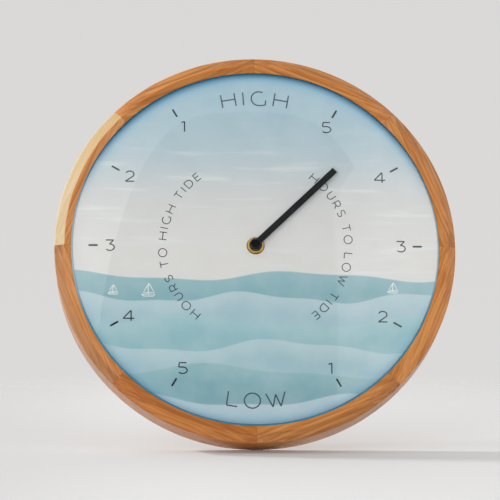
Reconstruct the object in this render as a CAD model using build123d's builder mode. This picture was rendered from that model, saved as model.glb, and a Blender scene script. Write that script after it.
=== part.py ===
"""Wall tide clock: wooden ring of eight pieces, domed glass, dial, one hand and a geared quartz movement.

Lengths are in mm. The wall is the plane y = 0, the dial faces -Y and +Z is up.
The origin is the middle of the hanger's entry hole. A height is a distance in front of the wall.
"""
import math
import os
from collections import namedtuple

from build123d import *

os.makedirs("parts", exist_ok=True)

# Wooden frame
FRAME_DIAMETER = 300.0
FRAME_DEPTH = 26.9
SEGMENT_COUNT = 8
RING_WIDTH = 12.4
BEVEL_WIDTH = 7.5
BEVEL_DROP = 2.9
INNER_DROP = 1.0
LIP_THICKNESS = 1.0
REAR_WALL = 7.0
CORNER_ROUNDING = 1.4
REBATE_CLEARANCE = 0.4

# Domed glass and the bead it is bedded in
GLASS_THICKNESS = 1.8
GLASS_RISE = 16.5
BEAD_WIDTH = 1.3
BEAD_HEIGHT = 1.2
BEAD_ROUNDING = 0.5
BEAD_CLEARANCE = 0.03

# Dial, board and the points that hold them
DIAL_THICKNESS = 0.5
BOARD_THICKNESS = 4.0
POINT_LENGTH = 15.0
POINT_WIDTH = 6.0
POINT_THICKNESS = 0.5
POINT_BITE = 4.0
POINT_CLEARANCE = 0.05

# Keyhole hanger
HANGER_LENGTH = 100.0
HANGER_HEIGHT = 19.0
HANGER_RISE = 2.0
HANGER_THICKNESS = 1.5
HANGER_EDGE = 1.5
HANGER_CLEARANCE = 0.1
KEYHOLE_INSET = 12.0
KEYHOLE_RADIUS = 5.0
SLOT_WIDTH = 5.0
SLOT_LENGTH = 7.0
HANGER_SCREW_END = 4.0
HANGER_SCREW_LENGTH = 14.0
HANGER_SCREW_SHANK = 3.0
HANGER_SCREW_HEAD = 5.4
HANGER_SCREW_INSET = 2.4
SCREW_CLEARANCE = 0.05

# Movement case
CASE_DEPTH = 15.6
CASE_CORNER = 3.6
CASE_WALL = 1.1
FRONT_WALL = 0.9
COVER_THICKNESS = 1.2
COVER_LIP = 1.0
COVER_CLEARANCE = 0.15
RUBBER_THICKNESS = 0.6
RUBBER_DIAMETER = 22.0

# Threaded bush and what is screwed on it
BUSH_DIAMETER = 8.0
BUSH_PROUD = 3.4
BUSH_FLANGE_DIAMETER = 11.0
BUSH_FLANGE = 1.0
BUSH_CLEARANCE = 0.2
WASHER_DIAMETER = 13.3
WASHER_THICKNESS = 0.6
NUT_DIAMETER = 12.4
NUT_FRONT_DIAMETER = 9.6
NUT_EDGE = 0.6
NUT_THICKNESS = 2.4

# Hand
HAND_LENGTH = 83.5
HAND_WIDTH = 4.8
HAND_ANGLE = 45.8
HAND_THICKNESS = 0.6
BOSS_DIAMETER = 8.7
BOSS_HEIGHT = 2.2
BOSS_LIFT = 0.3
CAP_DIAMETER = 6.8
CAP_THICKNESS = 0.8
CAP_ROUNDING = 0.5
CAP_STEM = 3.0
TUBE_DIAMETER = 5.0
TUBE_BORE = 3.2
RUNNING_CLEARANCE = 0.05

# Gear train: sizes of teeth are in modules, bearings are degrees from +X towards up
MODULE = 0.25
PINION_LEAVES = 8
WHEEL_TEETH = 60
CLUTCH_TEETH = 64
TIDE_TEETH = 53
WHEEL_THICKNESS = 1.2
LAYER_PITCH = 2.0
FIRST_LAYER = 0
SECOND_LAYER = 1
THIRD_LAYER = 2
CLUTCH_LAYER = 3
TIDE_LAYER = 4
TIDE_LAYER_DROP = 2.5
PINION_OVERLAP = 0.2
SETTING_BEARING = 90.0
THIRD_BEARING = 10.0
SECOND_BEARING = 0.0
FIRST_BEARING = 110.0
ROTOR_BEARING = 160.0
ARBOR_DIAMETER = 1.1
PIVOT_DIAMETER = 0.8
PIVOT_LENGTH = 0.7
SHOULDER = 0.3
ENDSHAKE = 0.1
BEARING_POST_DIAMETER = 3.0
TIDE_HUB_DIAMETER = 9.0
TRAIN_CLEARANCE = 1.7

# Setting arbor, its slip clutch and the knob
SETTING_SHAFT_DIAMETER = 2.0
CLUTCH_SEAT_DIAMETER = 2.4
CLUTCH_FLANGE_DIAMETER = 4.0
CLUTCH_FLANGE = 0.3
CLUTCH_GAP = 0.1
SPRING_DIAMETER = 4.8
SPRING_THICKNESS = 0.2
KNOB_DIAMETER = 12.0
KNOB_THICKNESS = 2.6
KNOB_GAP = 0.2
KNOB_GRIPS = 12
KNOB_GRIP_RADIUS = 0.8

# Bridge, its pillars and the small screws
BRIDGE_THICKNESS = 1.2
BRIDGE_DROP = 0.6
BRIDGE_EDGE = 2.2
PILLAR_RADIUS = 1.6
PILLAR_INSET = 3.4
PILLAR_LEFT = (-11.5, 3.0)
PILLAR_LOW = -1.5
PILLAR_HIGH = 21.0
SMALL_SCREW_SHANK = 1.4
SMALL_SCREW_HEAD = 3.2
SMALL_SCREW_HEAD_HEIGHT = 0.9
SMALL_SCREW_LENGTH = 5.0

# Stepping motor
MAGNET_DIAMETER = 5.0
MAGNET_HEIGHT = 2.2
MAGNET_GAP = 0.2
STATOR_THICKNESS = 0.8
STATOR_DROP = 8.2
STATOR_AIR_GAP = 0.4
STATOR_RIM = 2.3
STATOR_ARM = 3.2
STATOR_LEFT = -24.0
STATOR_TOP = 25.0
STATOR_BOTTOM = 14.4
STATOR_LEG = 4.5
STATOR_CUT_CORNER = 3.0
STATOR_POSTS = ((-6.0, 16.0), (-21.7, 16.0))
STATOR_PIN_RADIUS = 1.1
CORE_WIDTH = 3.2
CORE_LAP = 2.0
CORE_MIDDLE = 21.4
BOBBIN_MARGIN = 0.6
BOBBIN_FLANGE = 0.8
BOBBIN_HEIGHT = 7.0
BOBBIN_WALL = 0.6
BOBBIN_ROUNDING = 1.0
WINDING_DEPTH = 1.3

# Circuit board
PCB_WIDTH = 7.0
PCB_THICKNESS = 0.8
PCB_DROP = 9.1
PCB_EDGE = 0.1
PCB_SCREW_SPREAD = 18.0
CRYSTAL_DIAMETER = 2.0
CRYSTAL_LENGTH = 6.0
CRYSTAL_X = -8.0
CHIP_DIAMETER = 6.0
CHIP_HEIGHT = 1.0
CHIP_X = 5.0

# Battery and its contacts
CELL_DIAMETER = 14.2
CELL_LENGTH = 49.2
CELL_NUB_DIAMETER = 5.5
CELL_NUB = 1.0
CELL_CLEARANCE = 0.3
BAY_TO_CENTRE = 10.9
CONTACT_THICKNESS = 0.4
CONTACT_WIDTH = 5.2
CONTACT_REACH = 4.0
CONTACT_TOP = -6.0
CONTACT_GAP = 0.1
CONTACT_SLOT = 0.2
CONTACT_BACK = 0.8
SPRING_SPAN = 10.0

# Tooth forms, in modules
ToothForm = namedtuple("ToothForm", "addendum dedendum tip root")
WHEEL_FORM = ToothForm(addendum=1.0, dedendum=1.3, tip=0.5, root=1.7)
PINION_FORM = ToothForm(addendum=0.75, dedendum=1.5, tip=0.6, root=0.8)


def stepped(position, distance, degrees):
    """Point at a distance along a bearing from another point."""
    angle = math.radians(degrees)
    return (position[0] + distance * math.cos(angle), position[1] + distance * math.sin(angle))


# Places of the arbors follow from the tooth counts: each pair stands at its own mesh distance.
CENTRE = (0, 0)
SETTING = stepped(CENTRE, MODULE * (TIDE_TEETH + PINION_LEAVES) / 2, SETTING_BEARING)
THIRD = stepped(SETTING, MODULE * (CLUTCH_TEETH + PINION_LEAVES) / 2, THIRD_BEARING)
SECOND = stepped(THIRD, MODULE * (WHEEL_TEETH + PINION_LEAVES) / 2, SECOND_BEARING)
FIRST = stepped(SECOND, MODULE * (WHEEL_TEETH + PINION_LEAVES) / 2, FIRST_BEARING)
ROTOR = stepped(FIRST, MODULE * (WHEEL_TEETH + PINION_LEAVES) / 2, ROTOR_BEARING)
HALF_LEAF = 180 / PINION_LEAVES
TRAIN_REACH = SECOND[0] + MODULE * (WHEEL_TEETH / 2 + WHEEL_FORM.addendum)

# Radii and heights that follow
FRAME_RADIUS = FRAME_DIAMETER / 2
OPENING_RADIUS = FRAME_RADIUS - RING_WIDTH
RIDGE_RADIUS = FRAME_RADIUS - BEVEL_WIDTH
REBATE_RADIUS = FRAME_RADIUS - REAR_WALL
SEGMENT_ANGLE = 360 / SEGMENT_COUNT
CORNER_HEIGHT = FRAME_DEPTH - BEVEL_DROP
EDGE_HEIGHT = FRAME_DEPTH - INNER_DROP
DIAL_HEIGHT = EDGE_HEIGHT - LIP_THICKNESS
BOARD_FRONT = DIAL_HEIGHT - DIAL_THICKNESS
BOARD_BACK = BOARD_FRONT - BOARD_THICKNESS
BOARD_RADIUS = REBATE_RADIUS - REBATE_CLEARANCE
GLASS_RADIUS = OPENING_RADIUS - BEAD_WIDTH
HANGER_TO_CENTRE = REBATE_RADIUS - KEYHOLE_INSET
SCREW_RING = REBATE_RADIUS + HANGER_SCREW_INSET
HANGER_SCREW_SPREAD = HANGER_LENGTH / 2 - HANGER_SCREW_END
HANGER_SCREW_UP = math.sqrt(SCREW_RING**2 - HANGER_SCREW_SPREAD**2)
CASE_FRONT = BOARD_BACK - RUBBER_THICKNESS
CASE_BACK = CASE_FRONT - CASE_DEPTH
COVER_FRONT = CASE_BACK + COVER_THICKNESS
ROOM_FLOOR = CASE_FRONT - FRONT_WALL
CONTACT_X = CELL_LENGTH / 2 + CELL_NUB + CONTACT_GAP
ROOM_HALF = max(CONTACT_X + CONTACT_THICKNESS + CONTACT_BACK, TRAIN_REACH + TRAIN_CLEARANCE)
CASE_SIDE = 2 * (ROOM_HALF + CASE_WALL)
PILLAR_RIGHT = ROOM_HALF - PILLAR_INSET
PILLARS = (PILLAR_LEFT, (PILLAR_RIGHT, PILLAR_LOW), (PILLAR_RIGHT, PILLAR_HIGH))
BUSH_FRONT = DIAL_HEIGHT + BUSH_PROUD
BUSH_HOLE = BUSH_DIAMETER / 2 + BUSH_CLEARANCE
BOSS_BACK = BUSH_FRONT + BOSS_LIFT
BOSS_FRONT = BOSS_BACK + BOSS_HEIGHT
BRIDGE_FRONT = ROOM_FLOOR - TIDE_LAYER_DROP - TIDE_LAYER * LAYER_PITCH - BRIDGE_DROP
BRIDGE_BACK = BRIDGE_FRONT - BRIDGE_THICKNESS
STATOR_BACK = ROOM_FLOOR - STATOR_DROP
STATOR_FRONT = STATOR_BACK + STATOR_THICKNESS
STATOR_HOLE = MAGNET_DIAMETER / 2 + STATOR_AIR_GAP
PCB_FRONT = ROOM_FLOOR - PCB_DROP
PCB_BACK = PCB_FRONT - PCB_THICKNESS
BAY_TOP = -BAY_TO_CENTRE - CASE_WALL
CELL_UP = (BAY_TOP - ROOM_HALF) / 2
CELL_HEIGHT = ROOM_FLOOR - CELL_CLEARANCE - CELL_DIAMETER / 2
PCB_MIDDLE = -BAY_TO_CENTRE + PCB_EDGE + PCB_WIDTH / 2

DIAL_CENTRE = Vector(0, 0, -HANGER_TO_CENTRE)
FORWARD = (0, -1, 0)
DIAL_AXIS = Axis(DIAL_CENTRE, FORWARD)


def at(position, height):
    """Plane parallel to the dial at a height, its origin right and up of the dial's middle."""
    origin = (position[0], -height, position[1] - HANGER_TO_CENTRE)
    return Plane(origin=origin, x_dir=(1, 0, 0), z_dir=FORWARD)


def face(height):
    """Plane parallel to the dial at a height, on the dial's axis."""
    return at((0, 0), height)


def turned(degrees, height):
    """Plane parallel to the dial whose own x runs outwards along a bearing."""
    outwards = (math.cos(math.radians(degrees)), 0, math.sin(math.radians(degrees)))
    return Plane(origin=face(height).origin, x_dir=outwards, z_dir=FORWARD)


def section(degrees):
    """Plane through the dial's axis along a bearing: own x is the radius, own y the height."""
    outwards = (math.cos(math.radians(degrees)), 0, math.sin(math.radians(degrees)))
    normal = (math.sin(math.radians(degrees)), 0, -math.cos(math.radians(degrees)))
    return Plane(origin=DIAL_CENTRE, x_dir=outwards, z_dir=normal)


def across(x, up, height):
    """Plane that looks along +X: own x is up, own y the height."""
    return Plane(origin=(x, -height, up - HANGER_TO_CENTRE), x_dir=(0, 0, 1), z_dir=(1, 0, 0))


def bearing(start, end):
    """Bearing in degrees from one point to another."""
    return math.degrees(math.atan2(end[1] - start[1], end[0] - start[0]))


def save(builder, name):
    """Name a finished piece and write its file."""
    builder.part.label = name
    export_step(builder.part, f"parts/{name}.step")


# The frame is cut into equal pieces with butt seams. Each holds one retaining point.
FRAME_SECTION = (
    (FRAME_RADIUS, 0),
    (FRAME_RADIUS, CORNER_HEIGHT),
    (RIDGE_RADIUS, FRAME_DEPTH),
    (OPENING_RADIUS, EDGE_HEIGHT),
    (OPENING_RADIUS, DIAL_HEIGHT),
    (REBATE_RADIUS, DIAL_HEIGHT),
    (REBATE_RADIUS, 0),
)
HANGER_SCREWS = ((-HANGER_SCREW_SPREAD, HANGER_SCREW_UP), (HANGER_SCREW_SPREAD, HANGER_SCREW_UP))
HANGER_MIDDLE = (0, HANGER_TO_CENTRE + HANGER_RISE)
POINT_MIDDLE = REBATE_RADIUS + POINT_BITE - POINT_LENGTH / 2
POINT_BACK = BOARD_BACK - POINT_THICKNESS

for index in range(SEGMENT_COUNT):
    with BuildPart() as segment:
        with BuildSketch(section(index * SEGMENT_ANGLE)) as segment_section:
            with BuildLine():
                Polyline(*FRAME_SECTION, close=True)
            make_face()
            corner = segment_section.vertices().sort_by_distance((FRAME_RADIUS, CORNER_HEIGHT))[0]
            fillet(corner, CORNER_ROUNDING)
        revolve(axis=DIAL_AXIS, revolution_arc=SEGMENT_ANGLE)
        with BuildSketch(turned((index + 0.5) * SEGMENT_ANGLE, POINT_BACK - POINT_CLEARANCE)):
            with Locations((POINT_MIDDLE, 0)):
                Rectangle(POINT_LENGTH + 2 * POINT_CLEARANCE, POINT_WIDTH + 2 * POINT_CLEARANCE)
        extrude(amount=POINT_THICKNESS + 2 * POINT_CLEARANCE, mode=Mode.SUBTRACT)
        if any(abs(bearing((0, 0), spot) - (index + 0.5) * SEGMENT_ANGLE) < SEGMENT_ANGLE / 2
               for spot in HANGER_SCREWS):
            with BuildSketch(face(0)):
                with Locations(HANGER_MIDDLE):
                    Rectangle(HANGER_LENGTH + 2 * HANGER_CLEARANCE, HANGER_HEIGHT + 2 * HANGER_CLEARANCE)
                Circle(FRAME_RADIUS - HANGER_EDGE + HANGER_CLEARANCE, mode=Mode.INTERSECT)
            extrude(amount=HANGER_THICKNESS, mode=Mode.SUBTRACT)
            with BuildSketch(face(0)):
                with Locations(*HANGER_SCREWS):
                    Circle(HANGER_SCREW_SHANK / 2 + SCREW_CLEARANCE)
            extrude(amount=HANGER_SCREW_LENGTH + SCREW_CLEARANCE, mode=Mode.SUBTRACT)
    save(segment, f"frame_segment_{index + 1}")

# The glass is a slice of a hollow ball. Its lower edge stands on the dial inside the opening.
GLASS_INNER_BALL = (GLASS_RADIUS**2 + GLASS_RISE**2) / (2 * GLASS_RISE)
GLASS_OUTER_BALL = GLASS_INNER_BALL + GLASS_THICKNESS
GLASS_BALL_HEIGHT = DIAL_HEIGHT + GLASS_RISE - GLASS_INNER_BALL
GLASS_RIM_HEIGHT = GLASS_BALL_HEIGHT + math.sqrt(GLASS_OUTER_BALL**2 - GLASS_RADIUS**2)
GLASS_APEX = GLASS_BALL_HEIGHT + GLASS_OUTER_BALL

with BuildPart() as domed_glass:
    with BuildSketch(section(0)):
        with BuildLine():
            Line((0, DIAL_HEIGHT + GLASS_RISE), (0, GLASS_APEX))
            RadiusArc((0, GLASS_APEX), (GLASS_RADIUS, GLASS_RIM_HEIGHT), GLASS_OUTER_BALL)
            Line((GLASS_RADIUS, GLASS_RIM_HEIGHT), (GLASS_RADIUS, DIAL_HEIGHT))
            RadiusArc((GLASS_RADIUS, DIAL_HEIGHT), (0, DIAL_HEIGHT + GLASS_RISE), -GLASS_INNER_BALL)
        make_face()
    revolve(axis=DIAL_AXIS)
save(domed_glass, "domed_glass")

with BuildPart() as glass_bead:
    with BuildSketch(section(0)) as bead_section:
        with Locations((GLASS_RADIUS + BEAD_WIDTH / 2, DIAL_HEIGHT + BEAD_HEIGHT / 2)):
            Rectangle(BEAD_WIDTH - 2 * BEAD_CLEARANCE, BEAD_HEIGHT)
        bead_crown = (OPENING_RADIUS, DIAL_HEIGHT + BEAD_HEIGHT)
        fillet(bead_section.vertices().sort_by_distance(bead_crown)[0], BEAD_ROUNDING)
    revolve(axis=DIAL_AXIS)
save(glass_bead, "glass_bead")

with BuildPart() as dial_sheet:
    with BuildSketch(face(BOARD_FRONT)):
        Circle(BOARD_RADIUS)
        Circle(BUSH_HOLE, mode=Mode.SUBTRACT)
    extrude(amount=DIAL_THICKNESS)
save(dial_sheet, "dial_sheet")

with BuildPart() as backing_board:
    with BuildSketch(face(BOARD_BACK)):
        Circle(BOARD_RADIUS)
        Circle(BUSH_HOLE, mode=Mode.SUBTRACT)
    extrude(amount=BOARD_THICKNESS)
save(backing_board, "backing_board")

with BuildPart() as retaining_points:
    for index in range(SEGMENT_COUNT):
        with BuildSketch(turned((index + 0.5) * SEGMENT_ANGLE, POINT_BACK)):
            with Locations((POINT_MIDDLE, 0)):
                Rectangle(POINT_LENGTH, POINT_WIDTH)
        extrude(amount=POINT_THICKNESS)
save(retaining_points, "retaining_points")

# The hanger is let in flush with the back of the frame. The wall screw enters the round hole.
HEAD_TAPER = math.degrees(math.atan2((HANGER_SCREW_HEAD - HANGER_SCREW_SHANK) / 2, HANGER_THICKNESS))

with BuildPart() as hanger_plate:
    with BuildSketch(face(0)):
        with Locations(HANGER_MIDDLE):
            Rectangle(HANGER_LENGTH, HANGER_HEIGHT)
        Circle(FRAME_RADIUS - HANGER_EDGE, mode=Mode.INTERSECT)
        with Locations((0, HANGER_TO_CENTRE)):
            Circle(KEYHOLE_RADIUS, mode=Mode.SUBTRACT)
        with Locations((0, HANGER_TO_CENTRE + SLOT_LENGTH / 2)):
            SlotCenterToCenter(SLOT_LENGTH, SLOT_WIDTH, rotation=90, mode=Mode.SUBTRACT)
    extrude(amount=HANGER_THICKNESS)
    for spot in HANGER_SCREWS:
        with BuildSketch(at(spot, 0)):
            Circle(HANGER_SCREW_HEAD / 2 + SCREW_CLEARANCE)
        extrude(amount=HANGER_THICKNESS, taper=HEAD_TAPER, mode=Mode.SUBTRACT)
save(hanger_plate, "hanger_plate")

with BuildPart() as hanger_screws:
    for spot in HANGER_SCREWS:
        with BuildSketch(at(spot, 0)):
            Circle(HANGER_SCREW_HEAD / 2)
        extrude(amount=HANGER_THICKNESS, taper=HEAD_TAPER)
        with BuildSketch(at(spot, HANGER_THICKNESS)):
            Circle(HANGER_SCREW_SHANK / 2)
        extrude(amount=HANGER_SCREW_LENGTH - HANGER_THICKNESS)
save(hanger_screws, "hanger_screws")


def layer(level):
    """Height of the back of a wheel in a layer, counted from the rotor's layer forwards."""
    return ROOM_FLOOR - TIDE_LAYER_DROP - (TIDE_LAYER - level) * LAYER_PITCH


def arbor_top(level):
    """Height of the front shoulder of an arbor whose pinion stands in a layer."""
    return layer(level) + WHEEL_THICKNESS + PINION_OVERLAP + SHOULDER


def gear_outline(teeth, form, tooth_bearing):
    """Corners of a gear with a tooth centred on a bearing."""
    root_radius = MODULE * (teeth / 2 - form.dedendum)
    tip_radius = MODULE * (teeth / 2 + form.addendum)
    root_half = MODULE * form.root / 2 / root_radius
    tip_half = MODULE * form.tip / 2 / tip_radius
    corners = []
    for tooth in range(teeth):
        middle = math.radians(tooth_bearing) + 2 * math.pi * tooth / teeth
        for radius, angle in ((root_radius, middle - root_half), (tip_radius, middle - tip_half),
                              (tip_radius, middle + tip_half), (root_radius, middle + root_half)):
            corners.append((radius * math.cos(angle), radius * math.sin(angle)))
    return corners


def add_gear(position, height, thickness, corners):
    """Add a gear to the open part."""
    with BuildSketch(at(position, height)) as gear:
        with BuildLine():
            Polyline(*corners, close=True)
        make_face()
    extrude(gear.sketch, amount=thickness)


def add_rod(position, back, front, diameter, mode=Mode.ADD):
    """Add or cut a round rod between two heights."""
    with BuildSketch(at(position, back)) as rod:
        Circle(diameter / 2)
    extrude(rod.sketch, amount=front - back, mode=mode)


def add_pinion(position, level, tooth_bearing):
    """Add a pinion that reaches a little past both faces of the wheel it drives."""
    corners = gear_outline(PINION_LEAVES, PINION_FORM, tooth_bearing)
    add_gear(position, layer(level) - PINION_OVERLAP, WHEEL_THICKNESS + 2 * PINION_OVERLAP, corners)


def add_arbor(position, level):
    """Add a thin arbor with a pivot at each end for a pinion that stands in a layer."""
    back = BRIDGE_FRONT + ENDSHAKE
    add_rod(position, back - PIVOT_LENGTH, arbor_top(level) + PIVOT_LENGTH, PIVOT_DIAMETER)
    add_rod(position, back, arbor_top(level), ARBOR_DIAMETER)


# Movement case: an open box with the train's room above and the battery bay below
ROOM_CORNER = CASE_CORNER - CASE_WALL
ROOM_MIDDLE = (0, (ROOM_HALF - BAY_TO_CENTRE) / 2)
ROOM_HEIGHT = ROOM_HALF + BAY_TO_CENTRE
BAY_MIDDLE = (0, (BAY_TOP - ROOM_HALF) / 2)
BAY_HEIGHT = ROOM_HALF + BAY_TOP
PIVOT_HOLE = PIVOT_DIAMETER + 2 * RUNNING_CLEARANCE
BEARING_POSTS = ((SETTING, TIDE_LAYER), (THIRD, CLUTCH_LAYER), (SECOND, THIRD_LAYER), (FIRST, SECOND_LAYER))
MAGNET_BACK = layer(FIRST_LAYER) + WHEEL_THICKNESS + PINION_OVERLAP + MAGNET_GAP
ROTOR_SHOULDER = MAGNET_BACK + MAGNET_HEIGHT + SHOULDER
PCB_POSTS = ((-PCB_SCREW_SPREAD, PCB_MIDDLE), (PCB_SCREW_SPREAD, PCB_MIDDLE))
SCREW_HOLE = SMALL_SCREW_SHANK + 2 * SCREW_CLEARANCE
BRIDGE_POSTS = PILLARS + STATOR_POSTS[:1]
SLOT_HALF_HEIGHT = CONTACT_WIDTH / 2 + CONTACT_SLOT

with BuildPart() as movement_case:
    with BuildSketch(face(CASE_FRONT)):
        RectangleRounded(CASE_SIDE, CASE_SIDE, CASE_CORNER)
    extrude(amount=-CASE_DEPTH)
    with BuildSketch(face(CASE_BACK)):
        with Locations((0, CASE_SIDE / 2 - BAY_TO_CENTRE)):
            Rectangle(CASE_SIDE, CASE_SIDE)
    extrude(amount=COVER_THICKNESS, mode=Mode.SUBTRACT)
    with BuildSketch(face(CASE_BACK)) as rooms:
        with Locations(ROOM_MIDDLE):
            Rectangle(2 * ROOM_HALF, ROOM_HEIGHT)
        with Locations(BAY_MIDDLE):
            Rectangle(2 * ROOM_HALF, BAY_HEIGHT)
        rows = rooms.vertices().group_by(Axis.Y)
        fillet(rows[0] + rows[-1], ROOM_CORNER)
    extrude(amount=ROOM_FLOOR - CASE_BACK, mode=Mode.SUBTRACT)
    with BuildSketch(face(CELL_HEIGHT - SLOT_HALF_HEIGHT)):
        for side in (-1, 1):
            with Locations((side * (CONTACT_X + CONTACT_THICKNESS / 2), BAY_TOP + CASE_WALL / 2)):
                Rectangle(CONTACT_THICKNESS + 2 * CONTACT_SLOT, 2 * CASE_WALL)
    extrude(amount=2 * SLOT_HALF_HEIGHT, mode=Mode.SUBTRACT)
    for spot in PILLARS:
        add_rod(spot, BRIDGE_FRONT, ROOM_FLOOR, 2 * PILLAR_RADIUS)
    for spot in STATOR_POSTS:
        add_rod(spot, STATOR_FRONT, ROOM_FLOOR, 2 * PILLAR_RADIUS)
    add_rod(STATOR_POSTS[0], BRIDGE_FRONT, STATOR_FRONT, 2 * STATOR_PIN_RADIUS)
    add_rod(STATOR_POSTS[1], STATOR_BACK, STATOR_FRONT, 2 * STATOR_PIN_RADIUS)
    for spot in BRIDGE_POSTS:
        add_rod(spot, BRIDGE_FRONT, BRIDGE_FRONT + SMALL_SCREW_LENGTH, SCREW_HOLE, Mode.SUBTRACT)
    for spot in PCB_POSTS:
        add_rod(spot, PCB_FRONT, ROOM_FLOOR, 2 * PILLAR_RADIUS)
        add_rod(spot, PCB_FRONT, PCB_FRONT + SMALL_SCREW_LENGTH, SCREW_HOLE, Mode.SUBTRACT)
    for spot, level in BEARING_POSTS:
        add_rod(spot, arbor_top(level) + ENDSHAKE, ROOM_FLOOR, BEARING_POST_DIAMETER)
        pivot_end = arbor_top(level) + PIVOT_LENGTH + ENDSHAKE
        add_rod(spot, arbor_top(level), pivot_end, PIVOT_HOLE, Mode.SUBTRACT)
    add_rod(ROTOR, ROTOR_SHOULDER + ENDSHAKE, ROOM_FLOOR, BEARING_POST_DIAMETER)
    add_rod(ROTOR, ROTOR_SHOULDER, ROTOR_SHOULDER + PIVOT_LENGTH + ENDSHAKE, PIVOT_HOLE, Mode.SUBTRACT)
    add_rod(CENTRE, ROOM_FLOOR, CASE_FRONT, BUSH_DIAMETER, Mode.SUBTRACT)
save(movement_case, "movement_case")

# The cover closes the train's room and leaves the battery bay open.
LIP_WIDTH = 2 * (ROOM_HALF - COVER_CLEARANCE)
LIP_HEIGHT = ROOM_HEIGHT - 2 * COVER_CLEARANCE
LIP_CORNER = ROOM_CORNER - COVER_CLEARANCE
LIP_OPENING = (LIP_WIDTH - 2 * COVER_LIP, LIP_HEIGHT - 2 * COVER_LIP)
SHAFT_HOLE = SETTING_SHAFT_DIAMETER + 2 * RUNNING_CLEARANCE

with BuildPart() as movement_cover:
    with BuildSketch(face(CASE_BACK)):
        RectangleRounded(CASE_SIDE, CASE_SIDE, CASE_CORNER)
        with Locations((0, -CASE_SIDE / 2 - BAY_TO_CENTRE + COVER_CLEARANCE)):
            Rectangle(CASE_SIDE, CASE_SIDE, mode=Mode.SUBTRACT)
    extrude(amount=COVER_THICKNESS)
    with BuildSketch(face(COVER_FRONT)):
        with Locations(ROOM_MIDDLE):
            RectangleRounded(LIP_WIDTH, LIP_HEIGHT, LIP_CORNER)
            RectangleRounded(*LIP_OPENING, LIP_CORNER - COVER_LIP, mode=Mode.SUBTRACT)
    extrude(amount=COVER_LIP)
    add_rod(SETTING, CASE_BACK, COVER_FRONT, SETTING_SHAFT_DIAMETER + 2 * BUSH_CLEARANCE, Mode.SUBTRACT)
save(movement_cover, "movement_cover")

with BuildPart() as threaded_bush:
    add_rod(CENTRE, ROOM_FLOOR - BUSH_FLANGE, ROOM_FLOOR, BUSH_FLANGE_DIAMETER)
    add_rod(CENTRE, ROOM_FLOOR, BUSH_FRONT, BUSH_DIAMETER)
    tube_hole = TUBE_DIAMETER + 2 * RUNNING_CLEARANCE
    add_rod(CENTRE, ROOM_FLOOR - BUSH_FLANGE, BUSH_FRONT, tube_hole, Mode.SUBTRACT)
save(threaded_bush, "threaded_bush")

with BuildPart() as rubber_washer:
    add_rod(CENTRE, CASE_FRONT, BOARD_BACK, RUBBER_DIAMETER)
    add_rod(CENTRE, CASE_FRONT, BOARD_BACK, 2 * BUSH_HOLE, Mode.SUBTRACT)
save(rubber_washer, "rubber_washer")

with BuildPart() as dial_washer:
    add_rod(CENTRE, DIAL_HEIGHT, DIAL_HEIGHT + WASHER_THICKNESS, WASHER_DIAMETER)
    add_rod(CENTRE, DIAL_HEIGHT, DIAL_HEIGHT + WASHER_THICKNESS, 2 * BUSH_HOLE, Mode.SUBTRACT)
save(dial_washer, "dial_washer")

with BuildPart() as shaft_nut:
    nut_back = DIAL_HEIGHT + WASHER_THICKNESS
    with BuildSketch(section(0)):
        with BuildLine():
            Polyline(
                (BUSH_DIAMETER / 2, nut_back),
                (NUT_DIAMETER / 2, nut_back),
                (NUT_DIAMETER / 2, nut_back + NUT_EDGE),
                (NUT_FRONT_DIAMETER / 2, nut_back + NUT_THICKNESS),
                (BUSH_DIAMETER / 2, nut_back + NUT_THICKNESS),
                close=True,
            )
        make_face()
    revolve(axis=DIAL_AXIS)
save(shaft_nut, "shaft_nut")

# The tide wheel and its tube carry the hand.
HUB_FRONT = ROOM_FLOOR - BUSH_FLANGE - ENDSHAKE

with BuildPart() as tide_wheel:
    add_gear(CENTRE, layer(TIDE_LAYER), WHEEL_THICKNESS,
             gear_outline(TIDE_TEETH, WHEEL_FORM, bearing(CENTRE, SETTING)))
    add_rod(CENTRE, layer(TIDE_LAYER), HUB_FRONT, TIDE_HUB_DIAMETER)
    add_rod(CENTRE, layer(TIDE_LAYER), BOSS_FRONT, TUBE_DIAMETER)
    add_rod(CENTRE, layer(TIDE_LAYER), BOSS_FRONT, TUBE_BORE, Mode.SUBTRACT)
save(tide_wheel, "tide_wheel")

with BuildPart() as tide_hand:
    with BuildSketch(turned(90 - HAND_ANGLE, BOSS_FRONT - HAND_THICKNESS)):
        with Locations((HAND_LENGTH / 2, 0)):
            Rectangle(HAND_LENGTH, HAND_WIDTH)
    extrude(amount=HAND_THICKNESS)
    add_rod(CENTRE, BOSS_BACK, BOSS_FRONT, BOSS_DIAMETER)
    add_rod(CENTRE, BOSS_BACK, BOSS_FRONT, TUBE_DIAMETER, Mode.SUBTRACT)
save(tide_hand, "tide_hand")

with BuildPart() as hand_cap:
    add_rod(CENTRE, BOSS_FRONT, BOSS_FRONT + CAP_THICKNESS, CAP_DIAMETER)
    cap_edge = hand_cap.edges().sort_by(Axis.Y)[0]
    fillet(cap_edge, CAP_ROUNDING)
    add_rod(CENTRE, BOSS_FRONT - CAP_STEM, BOSS_FRONT, TUBE_BORE)
save(hand_cap, "hand_cap")

# Setting arbor: knob at the back, clutch seat in the middle, pinion on the tide wheel at the front
CLUTCH_BACK = layer(CLUTCH_LAYER)
CLUTCH_FRONT = CLUTCH_BACK + WHEEL_THICKNESS
SPRING_BACK = CLUTCH_FRONT + CLUTCH_GAP
SPRING_FRONT = SPRING_BACK + SPRING_THICKNESS
FLANGE_FRONT = CLUTCH_BACK - CLUTCH_GAP
KNOB_FRONT = CASE_BACK - KNOB_GAP

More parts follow.
